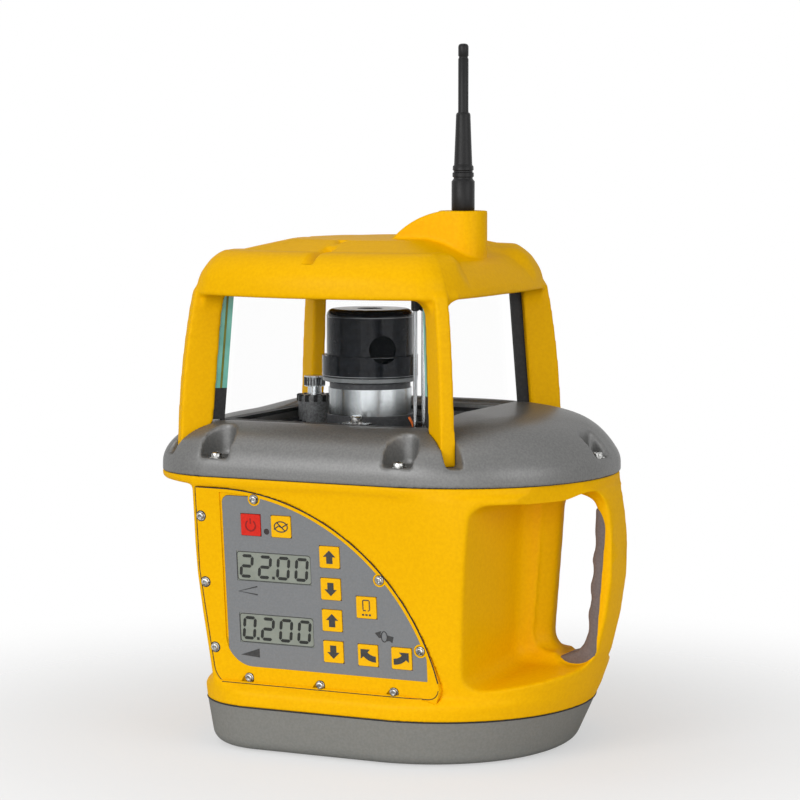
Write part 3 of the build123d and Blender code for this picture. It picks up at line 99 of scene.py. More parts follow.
# Roof of the cage: valley_line is start, half breadth and slant, corner_trim lists height and spread
outline_lean = (0.9, 0.44)
valley_depth = 5.5
valley_line = (48, 34, 0.55)
valley_edge = (-12, 2)
valley_reach = (46, 74)
valley_levels = ((246, 260), (273, 281))
back_lift = 1.5
back_edge = (2, 11)
back_levels = ((248, 262), (272, 278))
corner_trim = ((246, 104), (257, 97), (264, 91), (270, 83.5), (278, 72))
corner_ease = 6
corner_reach = (60, 80)
corner_levels = (246, 251)
dish_depth = 8
dish_half = 74
dish_reach = (62, 76)
dish_levels = ((236, 244), (258, 270))
sight_half = 3.4
sight_depth = 5
sight_low = 252
sight_shift = 1.5
front_sight = (54, 82)
left_sight = (36, 58)

# Fins of the cage and the hollow corners beside them
cage_middle = sum(corner.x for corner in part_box("guard_cage")) / 2 / MM
glass_foot, glass_head = (corner.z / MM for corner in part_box("window_front"))
glass_top = glass_head - 2.5
fin_angles = [math.radians(angle) for angle in (-43.5, 43.5, 136.5, 223.5)]
fin_half = 4
blend_root = 0.8 * fin_half
gusset = 9
gusset_top = 3
gusset_reach = (86.5, 98)
shoulder = 11
shoulder_depth = 0.8 * shoulder
shoulder_reach = 89.5
shoulder_inner = shoulder_reach - 8
shoulder_height = 15
shoulder_bend = 0.045
quarter_turn = np.linspace(0, math.pi / 2, 9)

# Upper cover
crown_lift = 4.5
crown_lean = 0.6
crown_span = (-40, 30)
crown_levels = (160, 175)
pocket_floor = 159
pocket_top = 195
pocket_back = 15
pocket_half = 8.8

# Handle
hole_lift = 3.4
hole_reach = ((100, 108), (141, 146))
hole_across = (22, 42)
hole_levels = ((112, 134), (139.5, 144.5))
bar_swell = 1.3
bar_reach = (126, 135)
bar_levels = ((47, 56), (137, 143))
bar_margin = 0.05
flange_spread = 135.8
flange_levels = (136, 141)
flare_depth = 4.5
flare_low = 43
flare_across = (8, 33)
flare_full = 12
flare_heights = (47, 59)
rim_reach = 135.7
rim_level = 45
rim_rake = 0.33
rim_round = 190
grip_swell = 0.4
grip_stretch = 1.06
grip_widen = 0.9
grip_reach = (131, 135)

# Seams, panel and prints
seam_radius = 0.35
seam_sink = 0.25
cover_seam_share = 0.005
# Radius of the painted shadow line along the grey film's edge
film_shadow_radius = 0.55 * seam_radius
foot_seam_radius = 0.7 * seam_radius
foot_seam_z = 36.8
foot_seam_ends = (-49, 73)
foot_seam_corner = 6
film_inset = (1.6, 1.6)
film_corner = 4
film_room = 1
film_depth = 4
hollow_halves = (3.4, 6, 2.8)
hollow_tilt = math.radians(-32)
hollow_shift = (-1.4, -2.6, 0.4)
egg_end = 0.98 * math.pi / 2
print_height = 0.15
# Thin dark frame inside each display's edge: painted shade of the sunken bezel
display_shade_line = 0.35
display_corner = 1.6
display_margin = (0.4, 0.8)
digit_height = 11.2
digit_width = 6.3
digit_stroke = 1.65
digit_slant = math.radians(6)
digit_pitch = 11
digit_gap = 0.25
point_size = 1.5
segments_of = {"0": "abcdef", "2": "abged"}
segment_ends = {
    "a": ((-1, 1), (1, 1)), "b": ((1, 0), (1, 1)), "c": ((1, -1), (1, 0)), "d": ((-1, -1), (1, -1)),
    "e": ((-1, -1), (-1, 0)), "f": ((-1, 0), (-1, 1)), "g": ((-1, 0), (1, 0))}
readings = {"display_upper": "22.00", "display_lower": "0.200"}
slope_shift = (-16.2, -13.4)
wedge_shift = (-16.5, -13.6)
turning_shift = (9.8, 10.8)

# Screw heads: radius, height and rounded share, and the socket as shares of radius and height
panel_head = (2.05, 1.2, 0.7)
panel_head_lift = 0.3
panel_washer = [(2, -3), (2, 0.05), (2.5, 0.1), (2.5, 0.3), (2.3, 0.45)]
cover_head = (3.2, 2.6, 0.5)
cover_washer = [(4.1, -3), (4.1, -2.5), (3.9, -2.4)]
cover_shank = 1.8
socket_share = 0.5
socket_depth = 0.75

# Rotor, drum and adjuster
disc_profile = [(7.5, -0.5), (7.5, -0.02), (7.1, 0)]
# Thin bright rings round the rotor's cap, skirt and base: painted highlights on its edges
highlight_line_profile = [(-1.5, -0.3), (0.1, -0.16), (0.1, 0.16), (-1.5, 0.3)]
cap_line_drop = 4.2
skirt_line_drop = 0.3
skirt_line_inset = 0.4
base_line_lift = 3.6
plate_profile = [(-2, 0.2), (-0.2, 0.5), (-0.2, 2.6), (-2, 2.9)]
drum_radius = 23
drum_band = [(-2, -2), (0.8, -1.6), (0.8, 8.4), (-2, 8.8)]
ring_inset = (2, 0.6)
ring_sink = 0.3
ring_gap = 0.4
tooth_count = 12
tooth_box = ((-1.6, -1.1, -3.2), (0.5, 1.1, 0.5))
# Dark ribs round the adjuster's knob: painted shade of its knurl
rib_count = 22
rib_box = ((-0.6, -0.42, -5.4), (0.25, 0.42, -0.8))

# Rods, wire, deck and posts under the roof; deck_frames lists inset, width and height
deck_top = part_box("deck_plate")[1].z / MM
rod_places = [(51.2, -50.4), (54.2, -46.6)]
rod_radius = 1.1
rod_foot = [(1.7 * rod_radius, 0), (1.7 * rod_radius, 2), (rod_radius, 2.4)]
sleeve_radius = 2 * rod_radius
sleeve_profile = [(1.1 * rod_radius, -7), (sleeve_radius, -6.4), (sleeve_radius, -0.2), (1.2 * rod_radius, 0)]
wire_place = (47, -48.5)
wire_sway = (2.2, 1.2)
wire_turns = (3.1, 2.4)
wire_rise = 12.5
wire_radius = 0.7
deck_frames = ((0.6, 3.2, 2.6), (5.2, 1.6, 1.4), (8.6, 1.2, 0.9))
clamp_box = ((1, -42, 0), (17, -33, 6.5))
clamp_place = (10, -37.5)
clamp_screw = [(3.4, 6.5), (3.4, 10), (2.9, 10.5)]
post_low = (85.6, 92.4)
post_high = (79.8, 86.8)
post_half = 2.4
post_foot = 17
# Olive line painted on the front glass edges as a reflection of the yellow fins
post_line_half = post_half + 0.1
post_line = (0.4, 0.58)
strip_half = 1.2

# Antenna: foot and sleeve by height above the socket, tip by height off the top
antenna_foot = [
    (6, 0), (6.3, 0.6), (6.3, 15.8), (5.7, 16.6), (5.2, 17.2), (5.2, 18), (5.8, 18.4), (5.8, 20.4),
    (5.2, 20.8), (5.2, 21.6), (5.7, 22), (5.6, 24), (5, 24.6), (4.9, 26), (4.3, 41), (3.9, 51.8),
    (3.5, 52.7), (2.9, 53), (2.8, 54)]
antenna_tip = [
    (2.8, -8.2), (2.45, -7.8), (2.45, -7), (2.8, -6.6), (2.8, -1.6), (2.4, -0.6), (1.5, -0.1), (0.6, 0)]

# Camera, lamps, world and floor, in metres and watts
camera_place = (0.7014, -1.4381, 0.333)
camera_tilt = math.radians(90 - 5.3)
camera_turn = math.radians(25.407)
camera_lens = 130.5
camera_sensor = 36
lamp_aim = Vector((0.02, 0, 0.16))
lamps = (
    ("key", (-0.5, -1.9, 0.8), 1.2, 20),
    ("front", (0.7, -2, 0.3), 1.4, 9),
    ("side", (1.9, -0.6, 0.7), 1.4, 12),
    ("top", (-0.3, -0.3, 1.8), 1.6, 5),
)
world_light = 0.28
floor_glow = 0.5
floor_fade = (0.12, 0.45)
floor_radius = 0.6
floor_sides = 96
floor_clouds = 300
floor_tones = ((0.86, 0.86, 0.86, 1), (0.9, 0.9, 0.9, 1))
floor_place = (0.02, 0, -0.0005)

# Tones, gloss, size and depth of the grain and level of the shine of plastics and rubbers
plastics = {
    "yellow_plastic": ((248, 188, 2), (243, 181, 0), 0.42, 0.8, 0.025, 0.06),
    "base_grey": ((131, 131, 127), (124, 124, 120), 0.55, 0.6, 0.03, 0.3),
    "cover_grey": ((106, 106, 104), (92, 92, 91), 0.36, 0.55, 0.07, 0.9),
    "grip_rubber": ((118, 108, 106), (108, 98, 96), 0.7, 0.5, 0.03, 0.2),
    "overlay_grey": ((129, 131, 133), (124, 126, 128), 0.55, 0.5, 0.01, 0.2),
    "key_yellow": ((250, 190, 12), (246, 184, 6), 0.5, 0.6, 0.01, 0.12),
    "key_red": ((222, 50, 38), (212, 44, 33), 0.5, 0.6, 0.01, 0.12),
    "display": ((146, 151, 141), (137, 142, 132), 0.35, 4.0, 0.0, 0.3),
    "lamp": ((40, 16, 16), (26, 10, 10), 0.2, 0.8, 0.0, 0.6),
    "board_green": ((30, 110, 70), (18, 84, 52), 0.45, 2.0, 0.02, 0.5),
    "seal_rubber": ((34, 34, 35), (22, 22, 23), 0.6, 0.7, 0.05, 0.3),
    "rotor_black": ((24, 27, 33), (15, 17, 22), 0.16, 1.5, 0.0, 0.12),
    "deck_dark": ((62, 63, 66), (48, 49, 52), 0.5, 0.9, 0.05, 0.4),
    "motor_black": ((118, 120, 122), (84, 86, 88), 0.4, 0.5, 0.1, 0.5),
    "magnet": ((96, 96, 98), (78, 78, 80), 0.5, 1.0, 0.03, 0.5),
    "cell_wrap": ((84, 98, 152), (70, 84, 136), 0.35, 3.0, 0.01, 0.5),
    "antenna_black": ((17, 17, 18), (11, 11, 12), 0.42, 0.8, 0.03, 0.25),
    "print_dark": ((66, 66, 66), (56, 56, 56), 0.5, 0.6, 0.0, 0.3),
    "print_red": ((150, 26, 22), (136, 20, 18), 0.5, 0.6, 0.0, 0.3),
    "segment": ((34, 36, 32), (24, 26, 23), 0.35, 0.8, 0.0, 0.4),
    "plate_grey": ((126, 130, 132), (108, 112, 114), 0.35, 3.0, 0.0, 0.3),
    # Painted highlight: light grey lines on the rotor's edges
    "rotor_painted_highlight": ((150, 154, 158), (60, 62, 66), 0.2, 9.0, 0.0, 0.4),
    "glass_edge": ((110, 186, 170), (92, 168, 152), 0.15, 5.0, 0.0, 0.4),
    # Painted reflection: olive line on the front glass edges, for the yellow fins mirrored there
    "glass_reflection_line": ((112, 116, 18), (88, 92, 10), 0.3, 4.0, 0.0, 0.3),
    "wire_orange": ((226, 110, 30), (206, 92, 22), 0.45, 0.8, 0.0, 0.4),
}
matt_edged = ("yellow_plastic", "base_grey", "cover_grey")
edge_gloss = 0.1
edge_span = (0.25, 0.8)
gloss_spread = 0.06
cloud_size = 2.2

# Tones, gloss and size of the tool marks and painted reflection bands of metals, and how they are drawn out
even, upward = (1, 1, 1), (1, 1, 0.04)
metals = {
    # Steel of the screws, the turned drum and the rods: strong dark and bright bands painted as reflections,
    # drawn upward on the drum and the rods
    "screw_steel": ((214, 214, 212), (84, 84, 82), 0.25, 1.6, even),
    "turned_steel": ((192, 196, 198), (74, 78, 80), 0.22, 14.0, upward),
    "cast_aluminium": ((196, 197, 199), (168, 169, 171), 0.45, 1.5, even),
    "brass": ((216, 184, 116), (186, 152, 86), 0.3, 1.5, even),
    "rod_steel": ((186, 188, 190), (84, 86, 88), 0.2, 1.6, upward),
}
pane_tones = ((70, 90, 86), (60, 80, 76))
pane_cover = 0.006
# Near-black tones of the lens: painted shade of the aperture behind it
optic_shade_tones = ((6, 7, 11), (3, 4, 6))


# Materials

def srgb(tone):
    """Linear colour of an 8-bit display colour."""
    shares = [level / 255 for level in tone]
    linear = [share / 12.92 if share <= 0.04045 else ((share + 0.055) / 1.055) ** 2.4 for share in shares]
    return (*linear, 1.0)


def feed(tree, node, inputs):
    """Gives inputs of a node their values, or joins them to the outputs of other nodes."""
    for key, value in inputs.items():
        if isinstance(value, bpy.types.NodeSocket):
            tree.links.new(value, node.inputs[key])
        else:
            node.inputs[key].default_value = value


def wired(tree, kind, output=0, inputs=None, **settings):
    """Output of a new shader node whose inputs are fed."""
    node = tree.nodes.new("ShaderNode" + kind)
    for key, value in settings.items():
        setattr(node, key, value)
    feed(tree, node, inputs or {})
    return node.outputs[output]


class Shader:
    """A material in the making: adds texture nodes and joins them to one surface shader."""

    def __init__(self, name):
        self.material = bpy.data.materials.new(name)
        self.material.use_nodes = True
        self.tree = self.material.node_tree
        self.place = wired(self.tree, "TexCoord", "Object")

    def set(self, **values):
        inputs = {key.replace("_", " "): value for key, value in values.items()}
        feed(self.tree, self.tree.nodes["Principled BSDF"], inputs)

    def noise(self, size, stretch=even):
        """Cloudy pattern whose features are about size millimetres across."""
        place = wired(self.tree, "Mapping", "Vector", {"Vector": self.place, "Scale": stretch})
        return wired(self.tree, "TexNoise", "Fac", {"Vector": place, "Scale": 1 / (size * MM), "Detail": 2})

    def colour(self, factor, low, high, start=0.35, end=0.65):
        """Colours the surface from low to high as the factor goes from start to end."""
        tone = wired(self.tree, "ValToRGB", "Color", {"Fac": factor})
        for element, position, colour in zip(tone.node.color_ramp.elements, (start, end), (low, high)):
            element.position = position
            element.color = colour
        self.set(Base_Color=tone)

    def ranged(self, factor, span, low, high, **settings):
        """Value that runs from low to high as the factor goes over a span."""
        keys = ("Value", "From Min", "From Max", "To Min", "To Max")
        inputs = dict(zip(keys, (factor, *span, low, high)))
        return wired(self.tree, "MapRange", "Result", inputs, **settings)

    def rough(self, factor, low, high):
        self.set(Roughness=self.ranged(factor, (0, 1), low, high))

    def bump(self, height, depth):
        self.set(Normal=wired(self.tree, "Bump", "Normal", {"Distance": depth * MM, "Height": height}))

    def fade_gloss(self, specular):
        """Gloss of the given level that dies away where the surface is seen edge on."""
        edge = wired(self.tree, "LayerWeight", "Facing")
        self.set(Specular_IOR_Level=self.ranged(edge, edge_span, specular, specular * edge_gloss))


def moulding(name, light, dark, gloss, grain, depth, specular):
    """Moulded plastic or rubber: two near tones, uneven gloss and a fine raised grain."""
    shader = Shader(name)
    fine = shader.noise(grain)
    shader.colour(shader.noise(grain * cloud_size), srgb(dark), srgb(light))
    shader.rough(fine, gloss - gloss_spread, gloss + gloss_spread)
    shader.bump(fine, depth)
    shader.set(Specular_IOR_Level=specular)
    if name in matt_edged:
        shader.fade_gloss(specular)
    return shader.material


def metal(name, light, dark, gloss, marks_and_reflections, stretch):
    """Bare metal with tool marks and painted dark and bright reflection bands, drawn out along one axis by
    stretch.
    """
    shader = Shader(name)
    lines = shader.noise(marks_and_reflections, stretch)
    shader.colour(lines, srgb(dark), srgb(light), 0.3, 0.7)
    shader.rough(lines, gloss - 0.05, gloss + 0.08)
    shader.set(Metallic=1.0)
    return shader.material


def pane(name, light, dark):
    """Clear sheet glass with a faint cool tint."""
    shader = Shader(name)
    shader.colour(shader.noise(9), srgb(dark), srgb(light))
    shader.set(Alpha=pane_cover, Roughness=0.04, Specular_IOR_Level=0.3)
    return shader.material


def optic(name, light, dark):
    """Coated optical glass, very smooth, painted near black for the shade inside the aperture behind it."""
    shader = Shader(name)
    shader.colour(shader.noise(6), srgb(dark), srgb(light))
    shader.rough(shader.noise(3), 0.03, 0.08)
    shader.set(Specular_IOR_Level=0.02)
    return shader.material


materials = {name: moulding(name, *look) for name, look in plastics.items()}
materials.update((name, metal(name, *look)) for name, look in metals.items())
materials["window_glass"] = pane("window_glass", *pane_tones)
materials["optic_glass"] = optic("optic_glass", *optic_shade_tones)


def dress_cad():
    """Every CAD node gets the material of its slot."""
    for node, slot in slot_of.items():
        nodes[node].data.materials.clear()
        nodes[node].data.materials.append(materials[slot])


# Mesh helpers

def added(name, data):
    """New object in the scene."""
    thing = bpy.data.objects.new(name, data)
    scene.collection.objects.link(thing)
    return thing


def piece(name, mesh, body, slot, replaced=(), finish=None):
    """Puts a mesh into the scene on a body, dressed for a slot, in place of CAD nodes."""
    mesh.materials.clear()
    mesh.materials.append(materials[finish or slot])
    thing = added(name, mesh)
    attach(thing, body)
    if replaced:
        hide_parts(*replaced)
    return thing


def to_mesh(form, name, sharp=plain_sharp):
    """Mesh of a finished form, smooth except across sharp edges."""
    bmesh.ops.recalc_face_normals(form, faces=form.faces)
    mesh = bpy.data.meshes.new(name)
    form.to_mesh(mesh)
    form.free()
    mesh.shade_smooth()
    mesh.set_sharp_from_angle(angle=sharp)
    return mesh


def built(name, form, body, slot, replaced=(), finish=None):
    """Puts a finished form into the scene as a piece."""
    return piece(name, to_mesh(form, name), body, slot, replaced, finish)


def merged(mesh):
    """Form of a mesh whose doubled points are joined."""
    form = bmesh.new()
    form.from_mesh(mesh)
    bmesh.ops.remove_doubles(form, verts=form.verts, dist=1e-6)
    return form


def box_mm(node):
    """Lower and upper corner of a CAD node's box, in mm."""
    return [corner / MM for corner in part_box(node)]


def top_of(node):
    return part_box(node)[1].z / MM


def upright(x, y):
    """Place function for pieces that stand on the spot (x, y), in mm."""
    return lambda along, across, level: Vector((x + along, y + across, level)) * MM


def standing(node):
    """Place function for pieces that stand on the middle of a CAD node's box."""
    low, high = box_mm(node)
    return upright((low.x + high.x) / 2, (low.y + high.y) / 2)


def moved(place, x, y, z):
    """Place function shifted by an offset in mm."""
    return lambda along, across, level: place(along + x, across + y, level + z)


def set_to(profile, radius, level):
    """Profile moved out to a radius and up to a level."""
    return [(radius + reach, level + height) for reach, height in profile]


def circle(count):
    """Angles of evenly spaced points once round."""
    return np.linspace(0, 2 * math.pi, count, endpoint=False)


def loft(form, rows, hollow=False):
    """Walls between neighbouring rows of points, and a cap on both ends unless hollow."""
    rings = [[form.verts.new(point) for point in row] for row in rows]
    for lower, upper in zip(rings, rings[1:] + rings[:1] * hollow):
        for index in range(len(lower)):
            after = (index + 1) % len(lower)
            form.faces.new((lower[index], lower[after], upper[after], upper[index]))
    if not hollow:
        form.faces.new(rings[0][::-1])
        form.faces.new(rings[-1])


def turn(form, profile, place, sides=turned_sides, hollow=False):
    """Solid of revolution; the profile of a hollow one is closed and leaves its middle open."""
    loft(form, [
        [place(radius * math.cos(a), radius * math.sin(a), height) for a in circle(sides)]
        for radius, height in profile], hollow)


def prism(form, outline, place, low, high):
    """Closed slab of a flat outline between two heights above its place."""
    loft(form, [[place(x, y, z) for x, y in outline] for z in (low, high)])


def block(form, low, high, place):
    """Closed box between two corners, in mm."""
    corners = [(low[0], low[1]), (high[0], low[1]), (high[0], high[1]), (low[0], high[1])]
    prism(form, corners, place, low[2], high[2])


def ways(points):
    """Direction of a row of points at each of them."""
    return [(Vector(after) - Vector(before)).normalized()
            for before, after in zip(points[:1] + points[:-1], points[1:] + points[-1:])]


def tube(form, points, radius, sides):
    """Round wire along a row of points in mm."""
    rows = []
    for point, way in zip(points, ways(points)):
        side = (side - way * side.dot(way)).normalized() if rows else way.orthogonal().normalized()
        other = way.cross(side)
        rows.append([
            (Vector(point) + (side * math.cos(a) + other * math.sin(a)) * radius) * MM
            for a in circle(sides)])
    loft(form, rows)


def search_tree(meshes):
    """Search tree over the faces of several meshes."""
    form = bmesh.new()
    for mesh in meshes:
        form.from_mesh(mesh)
    tree = BVHTree.FromBMesh(form)
    form.free()
    return tree


def islands(node):
    """The corner points of each separate solid of a CAD node, as arrays in metres."""
    form = merged(nodes[node].data)
    found, seen = [], set()
    for start in form.verts:
        group = [] if start in seen else [start]
        seen.update(group)
        for vert in group:
            others = [edge.other_vert(vert) for edge in vert.link_edges]
            group += [other for other in others if other not in seen]
            seen.update(others)
        if group:
            found.append(np.array([vert.co[:] for vert in group]))
    form.free()
    return found


# Moulded shells: softened copies of the CAD shells

def step(values, start, end):
    """Soft step from 0 to 1 as values go from start to end."""
    share = np.clip((values - start) / (end - start), 0.0, 1.0)
    return share * share * (3 - 2 * share)


def hump(values, rise, fall):
    """Soft step up over one span of values and down again over another."""
    return step(values, *rise) * (1 - step(values, *fall))


def calm_weights(points, calm):
    """How far each point may move: hardly beside the calm nodes, fully away from them."""
    tree = search_tree(nodes[node].data for node in calm)
    reach = calm_span[1] * MM
    nearest = (tree.find_nearest(Vector(point), reach)[3] for point in points)
    gaps = np.array([reach if gap is None else gap for gap in nearest])
    weights = calm_share + (1 - calm_share) * step(gaps / MM, *calm_span)
    return weights * np.where(points[:, 2] > plateau_low * MM, plateau_share, 1.0)


def soften(mesh, calm, rounds, changes):
    """Draws every point toward the middle of its neighbours, as far as it may move, then reshapes."""
    count = len(mesh.vertices)
    flat = np.empty(count * 3)
    mesh.vertices.foreach_get("co", flat)
    points = flat.reshape(-1, 3)
    pairs = np.empty(len(mesh.edges) * 2, int)
    mesh.edges.foreach_get("vertices", pairs)
    first, second = pairs.reshape(-1, 2).T
    degree = np.bincount(first, minlength=count) + np.bincount(second, minlength=count)
    pull = soften_pull * calm_weights(points, calm)[:, None]
    for _ in range(rounds):
        total = np.stack([
            np.bincount(first, points[second, axis], count) + np.bincount(second, points[first, axis], count)
            for axis in range(3)], 1)
        points = points + pull * (total / degree[:, None] - points)
    for change in changes:
        change(points)
    mesh.vertices.foreach_set("co", points.ravel())


def modified(mesh, kind, **settings):
    """Result of one modifier on a mesh."""
    thing = added("modified", mesh)
    change = thing.modifiers.new(kind, kind)
    for key, value in settings.items():
        setattr(change, key, value)
    result = bpy.data.meshes.new_from_object(thing.evaluated_get(bpy.context.evaluated_depsgraph_get()))
    bpy.data.objects.remove(thing)
    return result


def trimmed(node, solid, operation):
    """Mesh of a CAD node with a solid cut out of it, or cut to that solid."""
    cutter = added("cutter", to_mesh(solid, "cutter"))
    whole = to_mesh(merged(nodes[node].data), node)
    result = modified(whole, "BOOLEAN", operation=operation, object=cutter)
    bpy.data.objects.remove(cutter)
    return result


def moulded(node, rounds, calm, changes, blends=None, cuts=None):
    """Softened copy of a CAD shell, cut and blended first and reshaped after."""
    form = bmesh.new()
    form.from_mesh(trimmed(node, cuts(), "DIFFERENCE") if cuts else nodes[node].data)
    if blends:
        blends(form)
    shell = modified(to_mesh(form, node), "REMESH", mode="VOXEL", voxel_size=voxel * MM)
    soften(shell, calm, rounds, changes)
    shell = modified(shell, "DECIMATE", ratio=kept_share)
    shell.shade_smooth()
    return piece(node + "_shell", shell, "housing", slot_of[node], [node])


def fin_place(angle):
    """Place function along one fin: outward, sideways and up from the cage's own axis."""
    foot = Vector((cage_middle, 0, 0))
    out = Vector((math.cos(angle), math.sin(angle), 0))
    side = Vector((-out.y, out.x, 0))
    return lambda reach, across, level: (foot + out * reach + side * across + Vector((0, 0, level))) * MM


def gusset_outline(side):
    """Hollow corner between a fin's face and the roof's lower edge, seen along the fin."""
    start = side * blend_root
    sweep = [(side * (fin_half + gusset * (1 - math.cos(a))), -gusset * (1 - math.sin(a)))
             for a in quarter_turn]
    return [(start, gusset_top), (start, -gusset)] + sweep + [(side * (fin_half + gusset), gusset_top)]


def shoulder_outline(side):
    """Hollow corner between a fin's face and the roof's side, seen from above."""
    start = side * blend_root
    sweep = [(shoulder_reach + shoulder_depth * (1 - math.sin(a)),
              side * (fin_half + shoulder * (1 - math.cos(a)))) for a in quarter_turn]
    return [(shoulder_inner, start), (shoulder_reach + shoulder_depth, start)] + sweep + [
        (shoulder_inner, side * (fin_half + shoulder))]


def cage_blends(form):
    """Hollow corners beside each fin, under the roof's edge and along its side."""
    for angle in fin_angles:
        place = fin_place(angle)
        for side in (-1, 1):
            loft(form, [
                [place(reach, across, glass_top + height) for across, height in gusset_outline(side)]
                for reach in gusset_reach])
            loft(form, [
                [place(reach - lift * lift * shoulder_bend, across, glass_top + lift)
                 for reach, across in shoulder_outline(side)]
                for lift in np.linspace(0, shoulder_height, 7)])


def roof_places(points):
    """How far points lie right of the cage's middle, toward the back and up, in mm."""
    along, back, level = points.T / MM
    return along - cage_middle, back, level


def sink_sides(points):
    """Presses a valley into the roof on the left and the right, up to the bars along front and back."""
    offset, back, level = roof_places(points)
    offset = np.abs(offset)
    start, half, slant = valley_line
    inside = 1 - step(np.abs(back) - half - slant * (offset - start), *valley_edge)
    slope = step(offset, *valley_reach) * hump(level, *valley_levels)
    points[:, 2] -= valley_depth * MM * inside * slope


def lift_back(points):
    """Raises the bar along the roof's back edge."""
    offset, back, level = roof_places(points)
    start, half, slant = valley_line
    edge = half + slant * np.clip(np.abs(offset) - start, 0, None)
    points[:, 2] += back_lift * MM * step(back - edge, *back_edge) * hump(level, *back_levels)


def trim_corners(points):
    """Draws in the roof's four corners, the more the higher."""
    offset, back, level = roof_places(points)
    lean_x, lean_y = outline_lean
    spread = lean_x * np.abs(offset) + lean_y * np.abs(back)
    limit = np.interp(level, *zip(*corner_trim))
    excess = (spread - limit + np.hypot(spread - limit, corner_ease)) / 2
    excess *= step(spread, *corner_reach) * step(level, *corner_levels)
    points[:, 0] -= np.sign(offset) * lean_x * excess * MM
    points[:, 1] -= np.sign(back) * lean_y * excess * MM


def dish_sides(points):
    """Draws in the left and right sides of the roof between the fins."""
    offset, back, level = roof_places(points)
    width = np.clip(1 - (np.abs(back) / dish_half) ** 2, 0, 1) ** 2
    drawn = dish_depth * step(np.abs(offset), *dish_reach) * width * hump(level, *dish_levels)
    points[:, 0] -= np.sign(offset) * drawn * MM


def cut_sights(points):
    """Presses a V groove into the front and the left slope of the roof."""
    offset, back, level = roof_places(points)
    front = (-back, offset - sight_shift, front_sight)
    left = (-offset, back, left_sight)
    for along, across, (near, far) in (front, left):
        depth = np.clip(1 - np.abs(across) / sight_half, 0, 1) * sight_depth
        inside = (along > near) & (along < far) & (level > sight_low)
        points[:, 2] -= np.where(inside, depth, 0) * MM


def raise_hole(points):
    """Lifts the upper end of the hand hole to the ceiling of the recess."""
    along, across, level = points.T / MM
    near = hump(along, *hole_reach) * (1 - step(np.abs(across), *hole_across))
    points[:, 2] += hole_lift * MM * near * hump(level, *hole_levels)


def trim_bar(points):
    """Gives the bar back what the softening took, and draws in the flange beside it."""
    along, across, level = points.T / MM
    lean_x, lean_y = outline_lean
    along += bar_swell * step(along, *bar_reach) * hump(level, *bar_levels)
    along = np.minimum(along, cad_box[1].x / MM - bar_margin)
    spread = lean_x * along + lean_y * np.abs(across)
    excess = np.clip(spread - flange_spread, 0, None) * step(level, *flange_levels)
    points[:, 0] = (along - lean_x * excess) * MM
    points[:, 1] -= np.sign(across) * lean_y * excess * MM


def deeper_pockets():
    """Solid that takes the pockets of the cover's front and back screws further in."""
    form = bmesh.new()
    arch = [(-pocket_half * math.cos(a), pocket_back * math.sin(a)) for a in np.linspace(0, math.pi, 25)]
    for points in islands("cover_screws"):
        x, y, _ = (points.min(0) + points.max(0)) / 2 / MM
        inward = -math.copysign(1, y)
        if abs(y) > pocket_back:
            outline = [(side, inward * depth) for side, depth in arch]
            prism(form, outline, upright(x, y), pocket_floor, pocket_top)
    return form


def lift_crown(points):
    """Raises the cover's inner edge toward the back and the right."""
    along, across, level = points.T / MM
    place = step(crown_lean * along + across, *crown_span)
    points[:, 2] += crown_lift * MM * place * step(level, *crown_levels)


def stretch_grip(points):
    """Brings the rubber proud of the bar's front and back."""
    points[:, 1] *= grip_stretch
    points[:, 0] += grip_widen * MM * step(points[:, 0] / MM, *grip_reach)


def rim_at(across, level):
    """How far the housing's right end reaches at a height, off its middle."""
    return rim_reach + rim_rake * (level - rim_level) - across * across / rim_round


def bar_foot(form):
    """Widens the foot of the bar into the rim at the back."""
    near, far = flare_across
    low, high = flare_heights
    rows = []
    for across in np.linspace(near, far, 10):
        share = min((far - across) / (far - flare_full), 1)
        top = low + (high - low) * (1 - math.sqrt(1 - share * share))
        foot, head = rim_at(across, flare_low), rim_at(across, top)
        corners = [(foot - flare_depth, flare_low), (foot, flare_low), (head, top), (head - flare_depth, top)]
        rows.append([Vector((x, across, z)) * MM for x, z in corners])
    loft(form, rows)


def handle_blends(form):
    """Closes the grip's groove, so that the bar stays whole under the rubber, and widens its foot."""
    form.from_mesh(nodes["handle_grip"].data)
    bar_foot(form)


def grip_skin():
    """Rubber of the handle, a little proud of the bar."""
    skin = modified(nodes["handle_grip"].data.copy(), "REMESH", mode="VOXEL", voxel_size=voxel * MM)
    soften(skin, [], grip_rounds, [stretch_grip, raise_hole])
    for vert in skin.vertices:
        vert.co += vert.normal * grip_swell * MM
    skin.shade_smooth()
    piece("handle_grip_skin", skin, "housing", "grip_rubber", ["handle_grip"])


def make_shells():
    """The three big mouldings and the rubber grip; returns the housing."""
    beside_cover = ["main_housing", "window_seal_lower", "deck_plate", "guard_cage", "cover_screws"]
    beside_cage = ["antenna_socket", "window_seal_upper", "upper_cover"]
    beside_housing = ["control_panel", "battery_door", "base_cover", "upper_cover"]
    roof_changes = [sink_sides, lift_back, trim_corners, dish_sides, cut_sights]
    moulded("upper_cover", cover_rounds, beside_cover, [lift_crown], cuts=deeper_pockets)
    moulded("guard_cage", cage_rounds, beside_cage, roof_changes, cage_blends)
    grip_skin()
    return moulded("main_housing", housing_rounds, beside_housing, [raise_hole, trim_bar], handle_blends)


# The control panel

def panel_axes():
    """Right, up and outward directions of the leaning front, from the two displays."""
    upper, lower = (sum(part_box(node), Vector()) / 2 for node in ("display_upper", "display_lower"))
    up = (upper - lower).normalized()
    right = Vector((1, 0, 0))
    return right, up, right.cross(up)


right, up, outward = panel_axes()


